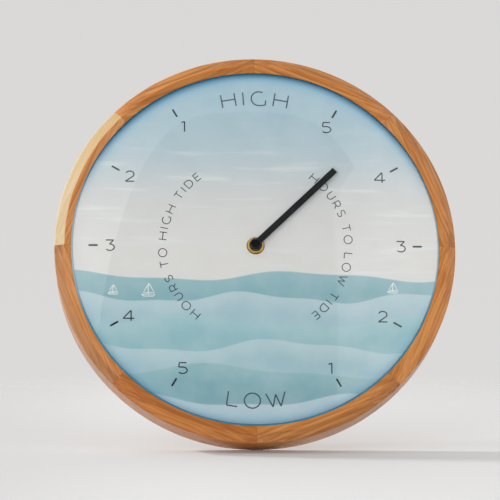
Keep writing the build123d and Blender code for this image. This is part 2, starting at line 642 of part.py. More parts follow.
with BuildPart() as setting_arbor:
    add_rod(SETTING, KNOB_FRONT, FLANGE_FRONT, SETTING_SHAFT_DIAMETER)
    add_rod(SETTING, FLANGE_FRONT - CLUTCH_FLANGE, FLANGE_FRONT, CLUTCH_FLANGE_DIAMETER)
    add_rod(SETTING, FLANGE_FRONT, SPRING_FRONT, CLUTCH_SEAT_DIAMETER)
    add_rod(SETTING, SPRING_FRONT, arbor_top(TIDE_LAYER), ARBOR_DIAMETER)
    add_rod(SETTING, SPRING_FRONT, arbor_top(TIDE_LAYER) + PIVOT_LENGTH, PIVOT_DIAMETER)
    add_pinion(SETTING, TIDE_LAYER, bearing(SETTING, CENTRE) + HALF_LEAF)
save(setting_arbor, "setting_arbor")

with BuildPart() as setting_knob:
    with BuildSketch(at(SETTING, KNOB_FRONT - KNOB_THICKNESS)):
        Circle(KNOB_DIAMETER / 2)
        with PolarLocations(KNOB_DIAMETER / 2, KNOB_GRIPS):
            Circle(KNOB_GRIP_RADIUS, mode=Mode.SUBTRACT)
    extrude(amount=KNOB_THICKNESS)
save(setting_knob, "setting_knob")

with BuildPart() as clutch_spring:
    add_rod(SETTING, SPRING_BACK, SPRING_FRONT, SPRING_DIAMETER)
    add_rod(SETTING, SPRING_BACK, SPRING_FRONT, CLUTCH_SEAT_DIAMETER, Mode.SUBTRACT)
save(clutch_spring, "clutch_spring")

with BuildPart() as clutch_wheel:
    add_gear(SETTING, CLUTCH_BACK, WHEEL_THICKNESS,
             gear_outline(CLUTCH_TEETH, WHEEL_FORM, bearing(SETTING, THIRD)))
    seat_hole = CLUTCH_SEAT_DIAMETER + 2 * RUNNING_CLEARANCE
    add_rod(SETTING, CLUTCH_BACK, CLUTCH_FRONT, seat_hole, Mode.SUBTRACT)
save(clutch_wheel, "clutch_wheel")

# Three alike wheels step the rotor down. Each carries the pinion that drives the next.
with BuildPart() as third_wheel:
    add_gear(THIRD, layer(THIRD_LAYER), WHEEL_THICKNESS,
             gear_outline(WHEEL_TEETH, WHEEL_FORM, bearing(THIRD, SECOND)))
    add_pinion(THIRD, CLUTCH_LAYER, bearing(THIRD, SETTING) + HALF_LEAF)
    add_arbor(THIRD, CLUTCH_LAYER)
save(third_wheel, "third_wheel")

with BuildPart() as second_wheel:
    add_gear(SECOND, layer(SECOND_LAYER), WHEEL_THICKNESS,
             gear_outline(WHEEL_TEETH, WHEEL_FORM, bearing(SECOND, FIRST)))
    add_pinion(SECOND, THIRD_LAYER, bearing(SECOND, THIRD) + HALF_LEAF)
    add_arbor(SECOND, THIRD_LAYER)
save(second_wheel, "second_wheel")

with BuildPart() as first_wheel:
    add_gear(FIRST, layer(FIRST_LAYER), WHEEL_THICKNESS,
             gear_outline(WHEEL_TEETH, WHEEL_FORM, bearing(FIRST, ROTOR)))
    add_pinion(FIRST, SECOND_LAYER, bearing(FIRST, SECOND) + HALF_LEAF)
    add_arbor(FIRST, SECOND_LAYER)
save(first_wheel, "first_wheel")

# Rotor: a magnet on a pinion's arbor, turning in the hole of the stator
with BuildPart() as rotor_pinion:
    add_pinion(ROTOR, FIRST_LAYER, bearing(ROTOR, FIRST) + HALF_LEAF)
    rotor_back = BRIDGE_FRONT + ENDSHAKE
    add_rod(ROTOR, rotor_back - PIVOT_LENGTH, ROTOR_SHOULDER + PIVOT_LENGTH, PIVOT_DIAMETER)
    add_rod(ROTOR, rotor_back, ROTOR_SHOULDER, ARBOR_DIAMETER)
save(rotor_pinion, "rotor_pinion")

with BuildPart() as rotor_magnet:
    add_rod(ROTOR, MAGNET_BACK, MAGNET_BACK + MAGNET_HEIGHT, MAGNET_DIAMETER)
    add_rod(ROTOR, MAGNET_BACK, MAGNET_BACK + MAGNET_HEIGHT, ARBOR_DIAMETER, Mode.SUBTRACT)
save(rotor_magnet, "rotor_magnet")

# Bridge: the plate that takes the back pivots
with BuildPart() as train_bridge:
    with BuildSketch(face(BRIDGE_BACK)):
        with Locations(*BRIDGE_POSTS, ROTOR):
            Circle(BRIDGE_EDGE)
        make_hull()
        with Locations(THIRD, SECOND, FIRST, ROTOR):
            Circle(PIVOT_HOLE / 2, mode=Mode.SUBTRACT)
        with Locations(SETTING):
            Circle(SHAFT_HOLE / 2, mode=Mode.SUBTRACT)
        with Locations(*BRIDGE_POSTS):
            Circle(SCREW_HOLE / 2, mode=Mode.SUBTRACT)
    extrude(amount=BRIDGE_THICKNESS)
save(train_bridge, "train_bridge")

with BuildPart() as movement_screws:
    for spot in BRIDGE_POSTS + PCB_POSTS:
        seat = PCB_BACK if spot in PCB_POSTS else BRIDGE_BACK
        add_rod(spot, seat - SMALL_SCREW_HEAD_HEIGHT, seat, SMALL_SCREW_HEAD)
        add_rod(spot, seat, seat + SMALL_SCREW_LENGTH, SMALL_SCREW_SHANK)
save(movement_screws, "movement_screws")

# Stator and coil: a plate with a hole round the rotor and a gap that the coil's core closes
STATOR_RIGHT = ROTOR[0] + STATOR_HOLE + STATOR_RIM
WINDOW_LEFT = STATOR_LEFT + STATOR_LEG
WINDOW_RIGHT = ROTOR[0] - STATOR_HOLE - STATOR_RIM
WINDOW_BOTTOM = STATOR_BOTTOM + STATOR_ARM
CORE_LEFT = WINDOW_LEFT - CORE_LAP
CORE_RIGHT = WINDOW_RIGHT + CORE_LAP
CORE_HEIGHT = STATOR_FRONT + STATOR_THICKNESS / 2
BOBBIN_LEFT = WINDOW_LEFT + BOBBIN_MARGIN
BOBBIN_RIGHT = WINDOW_RIGHT - BOBBIN_MARGIN
BOBBIN_LENGTH = BOBBIN_RIGHT - BOBBIN_LEFT
BOBBIN_BORE = (CORE_WIDTH + 2 * SCREW_CLEARANCE, STATOR_THICKNESS + 2 * SCREW_CLEARANCE)
BOBBIN_TUBE = (BOBBIN_BORE[0] + 2 * BOBBIN_WALL, BOBBIN_BORE[1] + 2 * BOBBIN_WALL)
WINDING_SIZE = (BOBBIN_TUBE[0] + 2 * WINDING_DEPTH, BOBBIN_TUBE[1] + 2 * WINDING_DEPTH)

with BuildPart() as stator:
    with BuildSketch(face(STATOR_BACK)):
        with BuildLine():
            Polyline(
                (STATOR_LEFT, STATOR_TOP),
                (STATOR_LEFT, STATOR_BOTTOM),
                (STATOR_RIGHT - STATOR_CUT_CORNER, STATOR_BOTTOM),
                (STATOR_RIGHT, STATOR_BOTTOM + STATOR_CUT_CORNER),
                (STATOR_RIGHT, STATOR_TOP),
                (WINDOW_RIGHT, STATOR_TOP),
                (WINDOW_RIGHT, WINDOW_BOTTOM),
                (WINDOW_LEFT, WINDOW_BOTTOM),
                (WINDOW_LEFT, STATOR_TOP),
                close=True,
            )
        make_face()
        with Locations(ROTOR):
            Circle(STATOR_HOLE, mode=Mode.SUBTRACT)
        with Locations(*STATOR_POSTS):
            Circle(STATOR_PIN_RADIUS + SCREW_CLEARANCE, mode=Mode.SUBTRACT)
    extrude(amount=STATOR_THICKNESS)
save(stator, "stator")

with BuildPart() as coil_core:
    with BuildSketch(face(STATOR_FRONT)):
        with Locations(((CORE_LEFT + CORE_RIGHT) / 2, CORE_MIDDLE)):
            Rectangle(CORE_RIGHT - CORE_LEFT, CORE_WIDTH)
    extrude(amount=STATOR_THICKNESS)
save(coil_core, "coil_core")

with BuildPart() as coil_bobbin:
    with BuildSketch(across(BOBBIN_LEFT, CORE_MIDDLE, CORE_HEIGHT)):
        Rectangle(*BOBBIN_TUBE)
    extrude(amount=BOBBIN_LENGTH)
    for end in (BOBBIN_LEFT, BOBBIN_RIGHT - BOBBIN_FLANGE):
        with BuildSketch(across(end, CORE_MIDDLE, CORE_HEIGHT)):
            RectangleRounded(BOBBIN_HEIGHT, BOBBIN_HEIGHT, BOBBIN_ROUNDING)
        extrude(amount=BOBBIN_FLANGE)
    with BuildSketch(across(BOBBIN_LEFT, CORE_MIDDLE, CORE_HEIGHT)):
        Rectangle(*BOBBIN_BORE)
    extrude(amount=BOBBIN_LENGTH, mode=Mode.SUBTRACT)
save(coil_bobbin, "coil_bobbin")

with BuildPart() as coil_winding:
    with BuildSketch(across(BOBBIN_LEFT + BOBBIN_FLANGE, CORE_MIDDLE, CORE_HEIGHT)):
        RectangleRounded(*WINDING_SIZE, BOBBIN_ROUNDING)
        Rectangle(*BOBBIN_TUBE, mode=Mode.SUBTRACT)
    extrude(amount=BOBBIN_LENGTH - 2 * BOBBIN_FLANGE)
save(coil_winding, "coil_winding")

# Circuit board with the crystal and the covered chip on its back
with BuildPart() as circuit_board:
    with BuildSketch(face(PCB_BACK)):
        with Locations((0, PCB_MIDDLE)):
            Rectangle(2 * CONTACT_X, PCB_WIDTH)
        with Locations(*PCB_POSTS):
            Circle(SCREW_HOLE / 2, mode=Mode.SUBTRACT)
    extrude(amount=PCB_THICKNESS)
save(circuit_board, "circuit_board")

with BuildPart() as quartz_crystal:
    with BuildSketch(across(CRYSTAL_X - CRYSTAL_LENGTH / 2, PCB_MIDDLE, PCB_BACK - CRYSTAL_DIAMETER / 2)):
        Circle(CRYSTAL_DIAMETER / 2)
    extrude(amount=CRYSTAL_LENGTH)
save(quartz_crystal, "quartz_crystal")

with BuildPart() as chip_cover:
    add_rod((CHIP_X, PCB_MIDDLE), PCB_BACK - CHIP_HEIGHT, PCB_BACK, CHIP_DIAMETER)
    chip_edge = chip_cover.faces().sort_by(Axis.Y)[-1].edges()
    fillet(chip_edge, CHIP_HEIGHT / 2)
save(chip_cover, "chip_cover")

# Battery: it lies across the bay with the nub to the right and leaves by the open back
with BuildPart() as battery_cell:
    with BuildSketch(across(-CELL_LENGTH / 2, CELL_UP, CELL_HEIGHT)):
        Circle(CELL_DIAMETER / 2)
    extrude(amount=CELL_LENGTH)
    with BuildSketch(across(CELL_LENGTH / 2, CELL_UP, CELL_HEIGHT)):
        Circle(CELL_NUB_DIAMETER / 2)
    extrude(amount=CELL_NUB)
save(battery_cell, "battery_cell")

# Contacts: strips that pass the bay's wall to the ends of the circuit board
CONTACT_BOTTOM = CELL_UP - CONTACT_REACH
CONTACT_MIDDLE = (CONTACT_TOP + CONTACT_BOTTOM) / 2
SPRING_TIP = -CELL_LENGTH / 2 - CONTACT_GAP

with BuildPart() as positive_contact:
    with BuildSketch(face(CELL_HEIGHT - CONTACT_WIDTH / 2)):
        with Locations((CONTACT_X + CONTACT_THICKNESS / 2, CONTACT_MIDDLE)):
            Rectangle(CONTACT_THICKNESS, CONTACT_TOP - CONTACT_BOTTOM)
    extrude(amount=CONTACT_WIDTH)
save(positive_contact, "positive_contact")

with BuildPart() as negative_contact:
    with BuildSketch(face(CELL_HEIGHT - CONTACT_WIDTH / 2)):
        with Locations((-CONTACT_X - CONTACT_THICKNESS / 2, CONTACT_MIDDLE)):
            Rectangle(CONTACT_THICKNESS, CONTACT_TOP - CONTACT_BOTTOM)
        with BuildLine():
            upper = (-CONTACT_X, CELL_UP + SPRING_SPAN / 2)
            lower = (-CONTACT_X, CELL_UP - SPRING_SPAN / 2)
            ThreePointArc(lower, (SPRING_TIP, CELL_UP), upper)
            Line(upper, (-CONTACT_X - CONTACT_THICKNESS, upper[1]))
            ThreePointArc(
                (-CONTACT_X - CONTACT_THICKNESS, upper[1]),
                (SPRING_TIP - CONTACT_THICKNESS, CELL_UP),
                (-CONTACT_X - CONTACT_THICKNESS, lower[1]),
            )
            Line((-CONTACT_X - CONTACT_THICKNESS, lower[1]), lower)
        make_face()
    extrude(amount=CONTACT_WIDTH)
save(negative_contact, "negative_contact")
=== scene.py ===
"""Looks of the wooden tide clock: finishes for every CAD piece, the printed dial and its lettering."""

import math
from collections import namedtuple

import bpy
from mathutils import Matrix, Vector


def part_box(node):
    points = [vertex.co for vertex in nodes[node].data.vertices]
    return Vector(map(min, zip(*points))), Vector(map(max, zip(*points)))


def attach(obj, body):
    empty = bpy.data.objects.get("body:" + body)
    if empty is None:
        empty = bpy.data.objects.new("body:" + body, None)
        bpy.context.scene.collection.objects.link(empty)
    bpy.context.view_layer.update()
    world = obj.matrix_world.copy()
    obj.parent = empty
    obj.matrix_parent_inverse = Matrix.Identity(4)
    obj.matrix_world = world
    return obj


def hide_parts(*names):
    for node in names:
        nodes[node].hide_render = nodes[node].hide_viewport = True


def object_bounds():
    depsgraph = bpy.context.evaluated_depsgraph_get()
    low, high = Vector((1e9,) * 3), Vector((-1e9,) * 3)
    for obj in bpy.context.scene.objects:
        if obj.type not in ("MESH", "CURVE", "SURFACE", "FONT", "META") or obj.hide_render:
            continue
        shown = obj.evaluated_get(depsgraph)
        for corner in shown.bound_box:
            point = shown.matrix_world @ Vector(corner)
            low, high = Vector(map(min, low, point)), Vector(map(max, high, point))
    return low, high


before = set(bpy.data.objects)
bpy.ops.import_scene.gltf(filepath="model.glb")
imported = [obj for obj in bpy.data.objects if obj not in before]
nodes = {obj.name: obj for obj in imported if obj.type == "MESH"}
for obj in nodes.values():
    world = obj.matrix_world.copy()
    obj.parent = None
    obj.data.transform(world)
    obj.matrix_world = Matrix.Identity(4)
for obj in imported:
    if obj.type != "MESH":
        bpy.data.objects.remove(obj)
cad_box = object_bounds()
bpy.ops.object.select_all(action="DESELECT")
scene = bpy.context.scene
scene.view_settings.view_transform = "Standard"

MM = 0.001
SEGMENTS = 8
SEGMENT_ANGLE = math.tau / SEGMENTS
HOUR_DEGREES = 30
SMOOTH_ANGLE = math.radians(40)

dial_low, dial_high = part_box("dial_sheet")
DIAL_CENTRE = Vector(((dial_low.x + dial_high.x) / 2, dial_low.y, (dial_low.z + dial_high.z) / 2))
DIAL_RADIUS = 137.6 * MM


# Camera

PITCH = math.radians(17.0)
YAW = math.radians(2.44)
ROLL = math.radians(-0.31)
LENS = 180.0
SENSOR = 36.0
SHIFT_RIGHT = -0.0111
SHIFT_UP = -0.0077
VIEW_DISTANCE = 1.8675


def clock_to_row(direction):
    """Turns a direction given as right, up, towards the viewer into the row frame."""
    return Vector((direction[0], -direction[2], direction[1]))


def add_camera():
    tip = Matrix.Rotation(-PITCH, 3, "X")
    swing = Matrix.Rotation(YAW, 3, "Y")
    spin = Matrix.Rotation(ROLL, 3, "Z")
    turn = swing @ tip @ spin
    right, up, back = (clock_to_row(turn[row]) for row in range(3))
    data = bpy.data.cameras.new("camera")
    data.lens = LENS
    data.sensor_width = SENSOR
    data.shift_x = SHIFT_RIGHT
    data.shift_y = SHIFT_UP
    camera = bpy.data.objects.new("camera", data)
    scene.collection.objects.link(camera)
    place = Matrix((right, up, back)).transposed().to_4x4()
    place.translation = DIAL_CENTRE + back * VIEW_DISTANCE
    camera.matrix_world = place
    scene.camera = camera


add_camera()


# Node helpers


def add(tree, kind, inputs=None, **settings):
    """Adds a node, sets its settings, and fills its inputs with values or with other nodes' outputs."""
    made = tree.nodes.new(kind)
    for name, value in settings.items():
        setattr(made, name, value)
    for name, value in (inputs or {}).items():
        if isinstance(value, bpy.types.NodeSocket):
            tree.links.new(value, made.inputs[name])
        else:
            made.inputs[name].default_value = value
    return made


def maths(tree, operation, *values):
    return add(tree, "ShaderNodeMath", dict(enumerate(values)), operation=operation).outputs[0]


def sum_of(tree, first, second):
    return maths(tree, "ADD", first, second)


def difference(tree, first, second):
    return maths(tree, "SUBTRACT", first, second)


def product(tree, first, second):
    return maths(tree, "MULTIPLY", first, second)


def ratio(tree, first, second):
    return maths(tree, "DIVIDE", first, second)


def larger(tree, first, second):
    return maths(tree, "MAXIMUM", first, second)


def smaller(tree, first, second):
    return maths(tree, "MINIMUM", first, second)


def size_of(tree, value):
    return maths(tree, "ABSOLUTE", value)


def sine_of(tree, value):
    return maths(tree, "SINE", value)


def vector_maths(tree, operation, *values):
    return add(tree, "ShaderNodeVectorMath", dict(enumerate(values)), operation=operation)


def stretched(tree, vector, factors):
    """A vector with each of its parts multiplied by a factor of its own."""
    return vector_maths(tree, "MULTIPLY", vector, factors).outputs[0]


def scaled(tree, vector, factor):
    """A vector or a colour multiplied by one factor."""
    return add(tree, "ShaderNodeVectorMath", {0: vector, "Scale": factor}, operation="SCALE").outputs[0]


def length_of(tree, vector):
    return vector_maths(tree, "LENGTH", vector).outputs["Value"]


def from_dial_centre(tree, where):
    return vector_maths(tree, "SUBTRACT", where, DIAL_CENTRE).outputs[0]


def parts_of(tree, vector):
    return add(tree, "ShaderNodeSeparateXYZ", {0: vector}).outputs


def noise(tree, where, scale, detail, roughness, distortion=0.0):
    """Soft random spots between 0 and 1."""
    inputs = {"Vector": where, "Scale": scale, "Detail": detail, "Roughness": roughness}
    inputs["Distortion"] = distortion
    return add(tree, "ShaderNodeTexNoise", inputs).outputs[0]


def fade(tree, value, start, end, low=0.0, high=1.0):
    """A smooth step from low to high while the value goes from start to end.

    Number pairs named below are its start and end, and fours, apart from colours, all four.
    """
    made = add(
        tree,
        "ShaderNodeMapRange",
        {"Value": value, "From Min": start, "From Max": end, "To Min": low, "To Max": high},
        interpolation_type="SMOOTHSTEP",
    )
    return made.outputs["Result"]


# The mix node's inputs and output that carry colours, by their places
MIX_FACTOR = 0
MIX_FIRST = 6
MIX_SECOND = 7
MIX_RESULT = 2


def mixed(tree, factor, first, second):
    """Mixes two colours."""
    inputs = {MIX_FACTOR: factor, MIX_FIRST: first, MIX_SECOND: second}
    return add(tree, "ShaderNodeMix", inputs, data_type="RGBA").outputs[MIX_RESULT]


def ramp(tree, value, stops):
    """A colour ramp through the given (place, colour) stops."""
    made = add(tree, "ShaderNodeValToRGB", {"Fac": value})
    points = made.color_ramp.elements
    while len(points) < len(stops):
        points.new(0.5)
    for point, (place, colour) in zip(points, stops):
        point.position = place
        point.color = tone(colour)
    return made.outputs["Color"]


def tone(code):
    """A colour written as six hexadecimal digits, as light by the sRGB curve."""
    parts = [int(code[start:start + 2], 16) / 255 for start in (0, 2, 4)]
    light = [part / 12.92 if part <= 0.04045 else ((part + 0.055) / 1.055) ** 2.4 for part in parts]
    return (*light, 1.0)


def start_material(name):
    made = bpy.data.materials.new(name)
    made.use_nodes = True
    tree = made.node_tree
    shader = tree.nodes["Principled BSDF"]
    where = tree.nodes.new("ShaderNodeTexCoord").outputs["Object"]
    return made, tree, shader, where


def link_surface(tree, shader, colour, roughness, height, strength, depth):
    """Links a colour, a roughness and a relief of the given strength and depth to the shader."""
    bump = add(tree, "ShaderNodeBump", {"Height": height, "Strength": strength, "Distance": depth})
    tree.links.new(colour, shader.inputs["Base Color"])
    tree.links.new(roughness, shader.inputs["Roughness"])
    tree.links.new(bump.outputs["Normal"], shader.inputs["Normal"])


def finish_nodes(material, *names):
    """Puts a finish on CAD pieces through their own material slots."""
    for name in names:
        for slot in nodes[name].material_slots:
            slot.material = material


# Surface grain shared by the plastics, metals, rubber and boards

WIDE_GRAIN_SHARE = 0.12
GRAIN_MIX = (0.32, 0.68)
GRAIN_DEPTH = 0.2 * MM
NO_STRETCH = (1.0, 1.0, 1.0)


def make_surface_grain():
    group = bpy.data.node_groups.new("surface_grain", "ShaderNodeTree")
    face = group.interface
    for name, kind in (
        ("Where", "NodeSocketVector"),
        ("Light", "NodeSocketColor"),
        ("Dark", "NodeSocketColor"),
        ("Scale", "NodeSocketFloat"),
        ("Smooth", "NodeSocketFloat"),
        ("Rough", "NodeSocketFloat"),
    ):
        face.new_socket(name=name, in_out="INPUT", socket_type=kind)
    for name, kind in (
        ("Colour", "NodeSocketColor"),
        ("Roughness", "NodeSocketFloat"),
        ("Height", "NodeSocketFloat"),
    ):
        face.new_socket(name=name, in_out="OUTPUT", socket_type=kind)
    given = group.nodes.new("NodeGroupInput").outputs
    result = group.nodes.new("NodeGroupOutput")
    fine = noise(group, given["Where"], given["Scale"], detail=6.0, roughness=0.6)
    wide_scale = product(group, given["Scale"], WIDE_GRAIN_SHARE)
    wide = noise(group, given["Where"], wide_scale, detail=3.0, roughness=0.5)
    both = sum_of(group, product(group, fine, 0.5), product(group, wide, 0.5))
    share = fade(group, both, *GRAIN_MIX)
    colour = mixed(group, share, given["Dark"], given["Light"])
    gloss = add(
        group,
        "ShaderNodeMapRange",
        {"Value": share, "To Min": given["Rough"], "To Max": given["Smooth"]},
    )
    group.links.new(colour, result.inputs["Colour"])
    group.links.new(gloss.outputs["Result"], result.inputs["Roughness"])
    group.links.new(fine, result.inputs["Height"])
    return group


surface_grain = make_surface_grain()


def grained(name, light, dark, scale, smooth, rough, relief, metal=0.0, stretch=NO_STRETCH):
    """A finish with a fine grain in its colour, gloss and relief."""
    made, tree, shader, where = start_material(name)
    if stretch != NO_STRETCH:
        where = stretched(tree, where, stretch)
    grain = add(
        tree,
        "ShaderNodeGroup",
        {
            "Where": where,
            "Light": tone(light),
            "Dark": tone(dark),
            "Scale": scale,
            "Smooth": smooth,
            "Rough": rough,
        },
        node_tree=surface_grain,
    ).outputs
    link_surface(tree, shader, grain["Colour"], grain["Roughness"], grain["Height"], relief, GRAIN_DEPTH)
    shader.inputs["Metallic"].default_value = metal
    return made


def open_finish(made):
    """A grained finish's tree, shader, colour and coordinates, for a finish that builds on it."""
    tree = made.node_tree
    shader = tree.nodes["Principled BSDF"]
    colour = shader.inputs["Base Color"].links[0].from_socket
    where = tree.nodes["Texture Coordinate"].outputs["Object"]
    return tree, shader, colour, where


# Wooden frame, one finish for each segment with the grain along it

FIBRES_PER_METRE = (9.0, 560.0, 560.0)
BANDS_PER_METRE = (4.0, 110.0, 120.0)
PORES_PER_METRE = (120.0, 1900.0, 1900.0)
GRAIN_SHIFT = (0.37, 0.11, 0.23)
FIBRE_SHARE = 0.7
BAND_SHARE = 0.3
SHADE_SPREAD = (0.36, 0.64)
PORE_SPREAD = (0.62, 0.74)
PORE_TONE = "74401A"
PORE_COVER = 0.4
PORE_RELIEF = 0.8
OUTER_FACET = (142.0 * MM, 143.6 * MM)
OUTER_WAVER = 3.0 * MM
GLUE_TONE = "4A2A16"
GLUE_LINE = (0.1 * MM, 0.4 * MM, 0.22, 0.0)
WOOD_RELIEF = 0.25
WOOD_RELIEF_DEPTH = 0.3 * MM
WOOD_ROUGHNESS = (0.3, 0.7, 0.48, 0.34)
SAPWOOD_SEGMENT = 4
SAPWOOD_STOPS = ((0.3, "AE9570"), (0.7, "C2B08F"))
SAPWOOD_GOLD_TONE = "B48A45"
SAPWOOD_GOLD = (35 * MM, 95 * MM, 0.0, 0.4)


def glue_lines(tree, from_centre, number):
    """A mask of the fine dark lines at both ends of a segment."""
    distances = []
    for seam in (number - 1, number):
        angle = seam * SEGMENT_ANGLE
        across = (-math.sin(angle), 0.0, math.cos(angle))
        distance = vector_maths(tree, "DOT_PRODUCT", from_centre, across).outputs["Value"]
        distances.append(size_of(tree, distance))
    return fade(tree, smaller(tree, *distances), *GLUE_LINE)


def oiled_wood(number, pale, warm, deep, outer_facet_painted_shade):
    """Oiled hardwood with its grain along the segment, the outer facet darkened by a factor that is partly
    the wood's tone and partly painted shade, and glue lines.
    """
    made, tree, shader, where = start_material(f"oiled_wood_{number}")
    middle = (number - 0.5) * SEGMENT_ANGLE
    from_centre = from_dial_centre(tree, where)
    along = add(
        tree,
        "ShaderNodeMapping",
        {
            "Vector": from_centre,
            "Rotation": (0.0, math.pi / 2 + middle, 0.0),
            "Location": tuple(shift * number for shift in GRAIN_SHIFT),
        },
    ).outputs[0]
    fibres_where = stretched(tree, along, FIBRES_PER_METRE)
    fibres = noise(tree, fibres_where, scale=1.0, detail=5.0, roughness=0.65, distortion=0.4)
    bands_where = stretched(tree, along, BANDS_PER_METRE)
    bands = noise(tree, bands_where, scale=1.0, detail=3.0, roughness=0.55, distortion=0.6)
    pores_where = stretched(tree, along, PORES_PER_METRE)
    pores = noise(tree, pores_where, scale=1.0, detail=2.0, roughness=0.5)
    pore_mark = fade(tree, pores, *PORE_SPREAD)
    shade = sum_of(tree, product(tree, fibres, FIBRE_SHARE), product(tree, bands, BAND_SHARE))
    colour = ramp(tree, fade(tree, shade, *SHADE_SPREAD), ((0.0, deep), (0.5, warm), (1.0, pale)))
    colour = mixed(tree, product(tree, pore_mark, PORE_COVER), colour, tone(PORE_TONE))

    ring = length_of(tree, stretched(tree, from_centre, (1.0, 0.0, 1.0)))
    ring = sum_of(tree, ring, product(tree, difference(tree, bands, 0.5), OUTER_WAVER))
    outer = fade(tree, ring, *OUTER_FACET)
    # Painted shade: the outer facet is darkened by the segment's factor, which is partly its own tone
    colour = mixed(tree, outer, colour, scaled(tree, colour, outer_facet_painted_shade))
    if number == SAPWOOD_SEGMENT:
        sapwood = ramp(tree, shade, SAPWOOD_STOPS)
        golden = fade(tree, parts_of(tree, from_centre)["Z"], *SAPWOOD_GOLD)
        sapwood = mixed(tree, golden, sapwood, tone(SAPWOOD_GOLD_TONE))
        colour = mixed(tree, outer, colour, sapwood)

    glue_line = glue_lines(tree, from_centre, number)
    colour = mixed(tree, glue_line, colour, tone(GLUE_TONE))
    relief = difference(tree, fibres, product(tree, pore_mark, PORE_RELIEF))
    relief = difference(tree, relief, glue_line)
    roughness = fade(tree, fibres, *WOOD_ROUGHNESS)
    link_surface(tree, shader, colour, roughness, relief, WOOD_RELIEF, WOOD_RELIEF_DEPTH)
    shader.inputs["Specular IOR Level"].default_value = 0.4
    shader.inputs["Coat Weight"].default_value = 0.2
    shader.inputs["Coat Roughness"].default_value = 0.18
    return made


GOLDEN_WOOD = ("CA8E5C", "BA7A3E", "A26028")
AMBER_WOOD = ("C88848", "B67130", "9A5A1E")
HONEY_WOOD = ("C08244", "AE6C2E", "94561C")
RUSSET_WOOD = ("B47230", "A25E20", "8A4A14")
# Each segment: its wood, and the factor that darkens its outer facet, partly the wood's tone and partly
# painted shade
SEGMENT_WOODS = (
    (HONEY_WOOD, 0.95),
    (AMBER_WOOD, 0.9),
    (HONEY_WOOD, 0.9),
    (GOLDEN_WOOD, 1.0),
    (GOLDEN_WOOD, 0.6),
    (RUSSET_WOOD, 0.95),
    (HONEY_WOOD, 0.8),
    (HONEY_WOOD, 1.0),
)
for number, (wood, outer_facet_painted_shade) in enumerate(SEGMENT_WOODS, start=1):
    finish_nodes(oiled_wood(number, *wood, outer_facet_painted_shade), f"frame_segment_{number}")


# Dial print: a pale sky over layered waves and a painted blue shade at its edge, with lengths as shares of
# the dial's radius

SKY_RISE = (-0.1, 1.0)
SKY_WAVER = 0.12
SKY_STOPS = ((0.0, "E4E1DF"), (0.3, "D8D9DA"), (0.6, "BECFD7"), (1.0, "A9C7D5"))
DRIFT_STRETCH = (1.1, 11.0, 1.0)
HAZE_SPREAD = (0.52, 0.70)
HAZE_RISE = (0.85, 0.25)
HAZE_TONE = "ECEDEC"
HAZE_COVER = 0.6
Wave = namedtuple("Wave", "level height swing phase softness body crest")
WAVES = (
    Wave(-0.17, 0.024, 5.0, 0.4, 0.004, "8BB5BE", "98BEC6"),
    Wave(-0.29, 0.026, 6.5, 1.9, 0.004, "A9C6D1", "BAD1D9"),
    Wave(-0.42, 0.028, 4.6, 3.3, 0.005, "96C0C8", "A6CAD1"),
    Wave(-0.56, 0.032, 5.6, 0.9, 0.005, "A6C5CF", "B8D1D8"),
    Wave(-0.70, 0.034, 4.2, 2.6, 0.006, "88B1BB", "96BDC4"),
    Wave(-0.86, 0.030, 5.2, 5.0, 0.006, "ADC7D4", "BED3DC"),
)
RIPPLE_SWING = 2.3
RIPPLE_PHASE = 1.7
RIPPLE_HEIGHT = 0.35
CREST_DEPTH = 0.12
WASH_SPREAD = (0.35, 0.65)
WASH_TONE = "F8FAFA"
WASH_COVER = 0.1
CROWN_RISE = (0.2, 0.75)
FOOT_FALL = (-0.15, -0.7, 0.0, 0.4)
# Painted shade: a blue halo and a darker rim at the dial's edge, standing in for the shade and tint of the
# frame and glass edge
EDGE_SHADE_HALO_RADIUS = (0.9, 1.0)
EDGE_SHADE_HALO_TONE = "7CBAD8"
EDGE_SHADE_HALO_COVER = 0.6
RIM_SHADE_RADIUS = (0.93, 1.0)
RIM_SHADE_TONE = "006C94"
PAPER_RELIEF = 0.12
PAPER_RELIEF_DEPTH = 0.1 * MM
PAPER_ROUGHNESS = (0.3, 0.7, 0.72, 0.6)


def paint_wave(tree, colour, wave, right, up):
    """Lays one wave over the colour: a swell with a finer ripple, paler at its crest."""
    swell = sine_of(tree, sum_of(tree, product(tree, right, wave.swing), wave.phase))
    ripple_turn = product(tree, right, wave.swing * RIPPLE_SWING)
    ripple = sine_of(tree, sum_of(tree, ripple_turn, wave.phase * RIPPLE_PHASE))
    ripple = product(tree, ripple, wave.height * RIPPLE_HEIGHT)
    edge = sum_of(tree, sum_of(tree, product(tree, swell, wave.height), ripple), wave.level)
    depth = difference(tree, edge, up)
    body = mixed(tree, fade(tree, depth, 0.0, CREST_DEPTH), tone(wave.crest), tone(wave.body))
    return mixed(tree, fade(tree, depth, -wave.softness, wave.softness), colour, body)


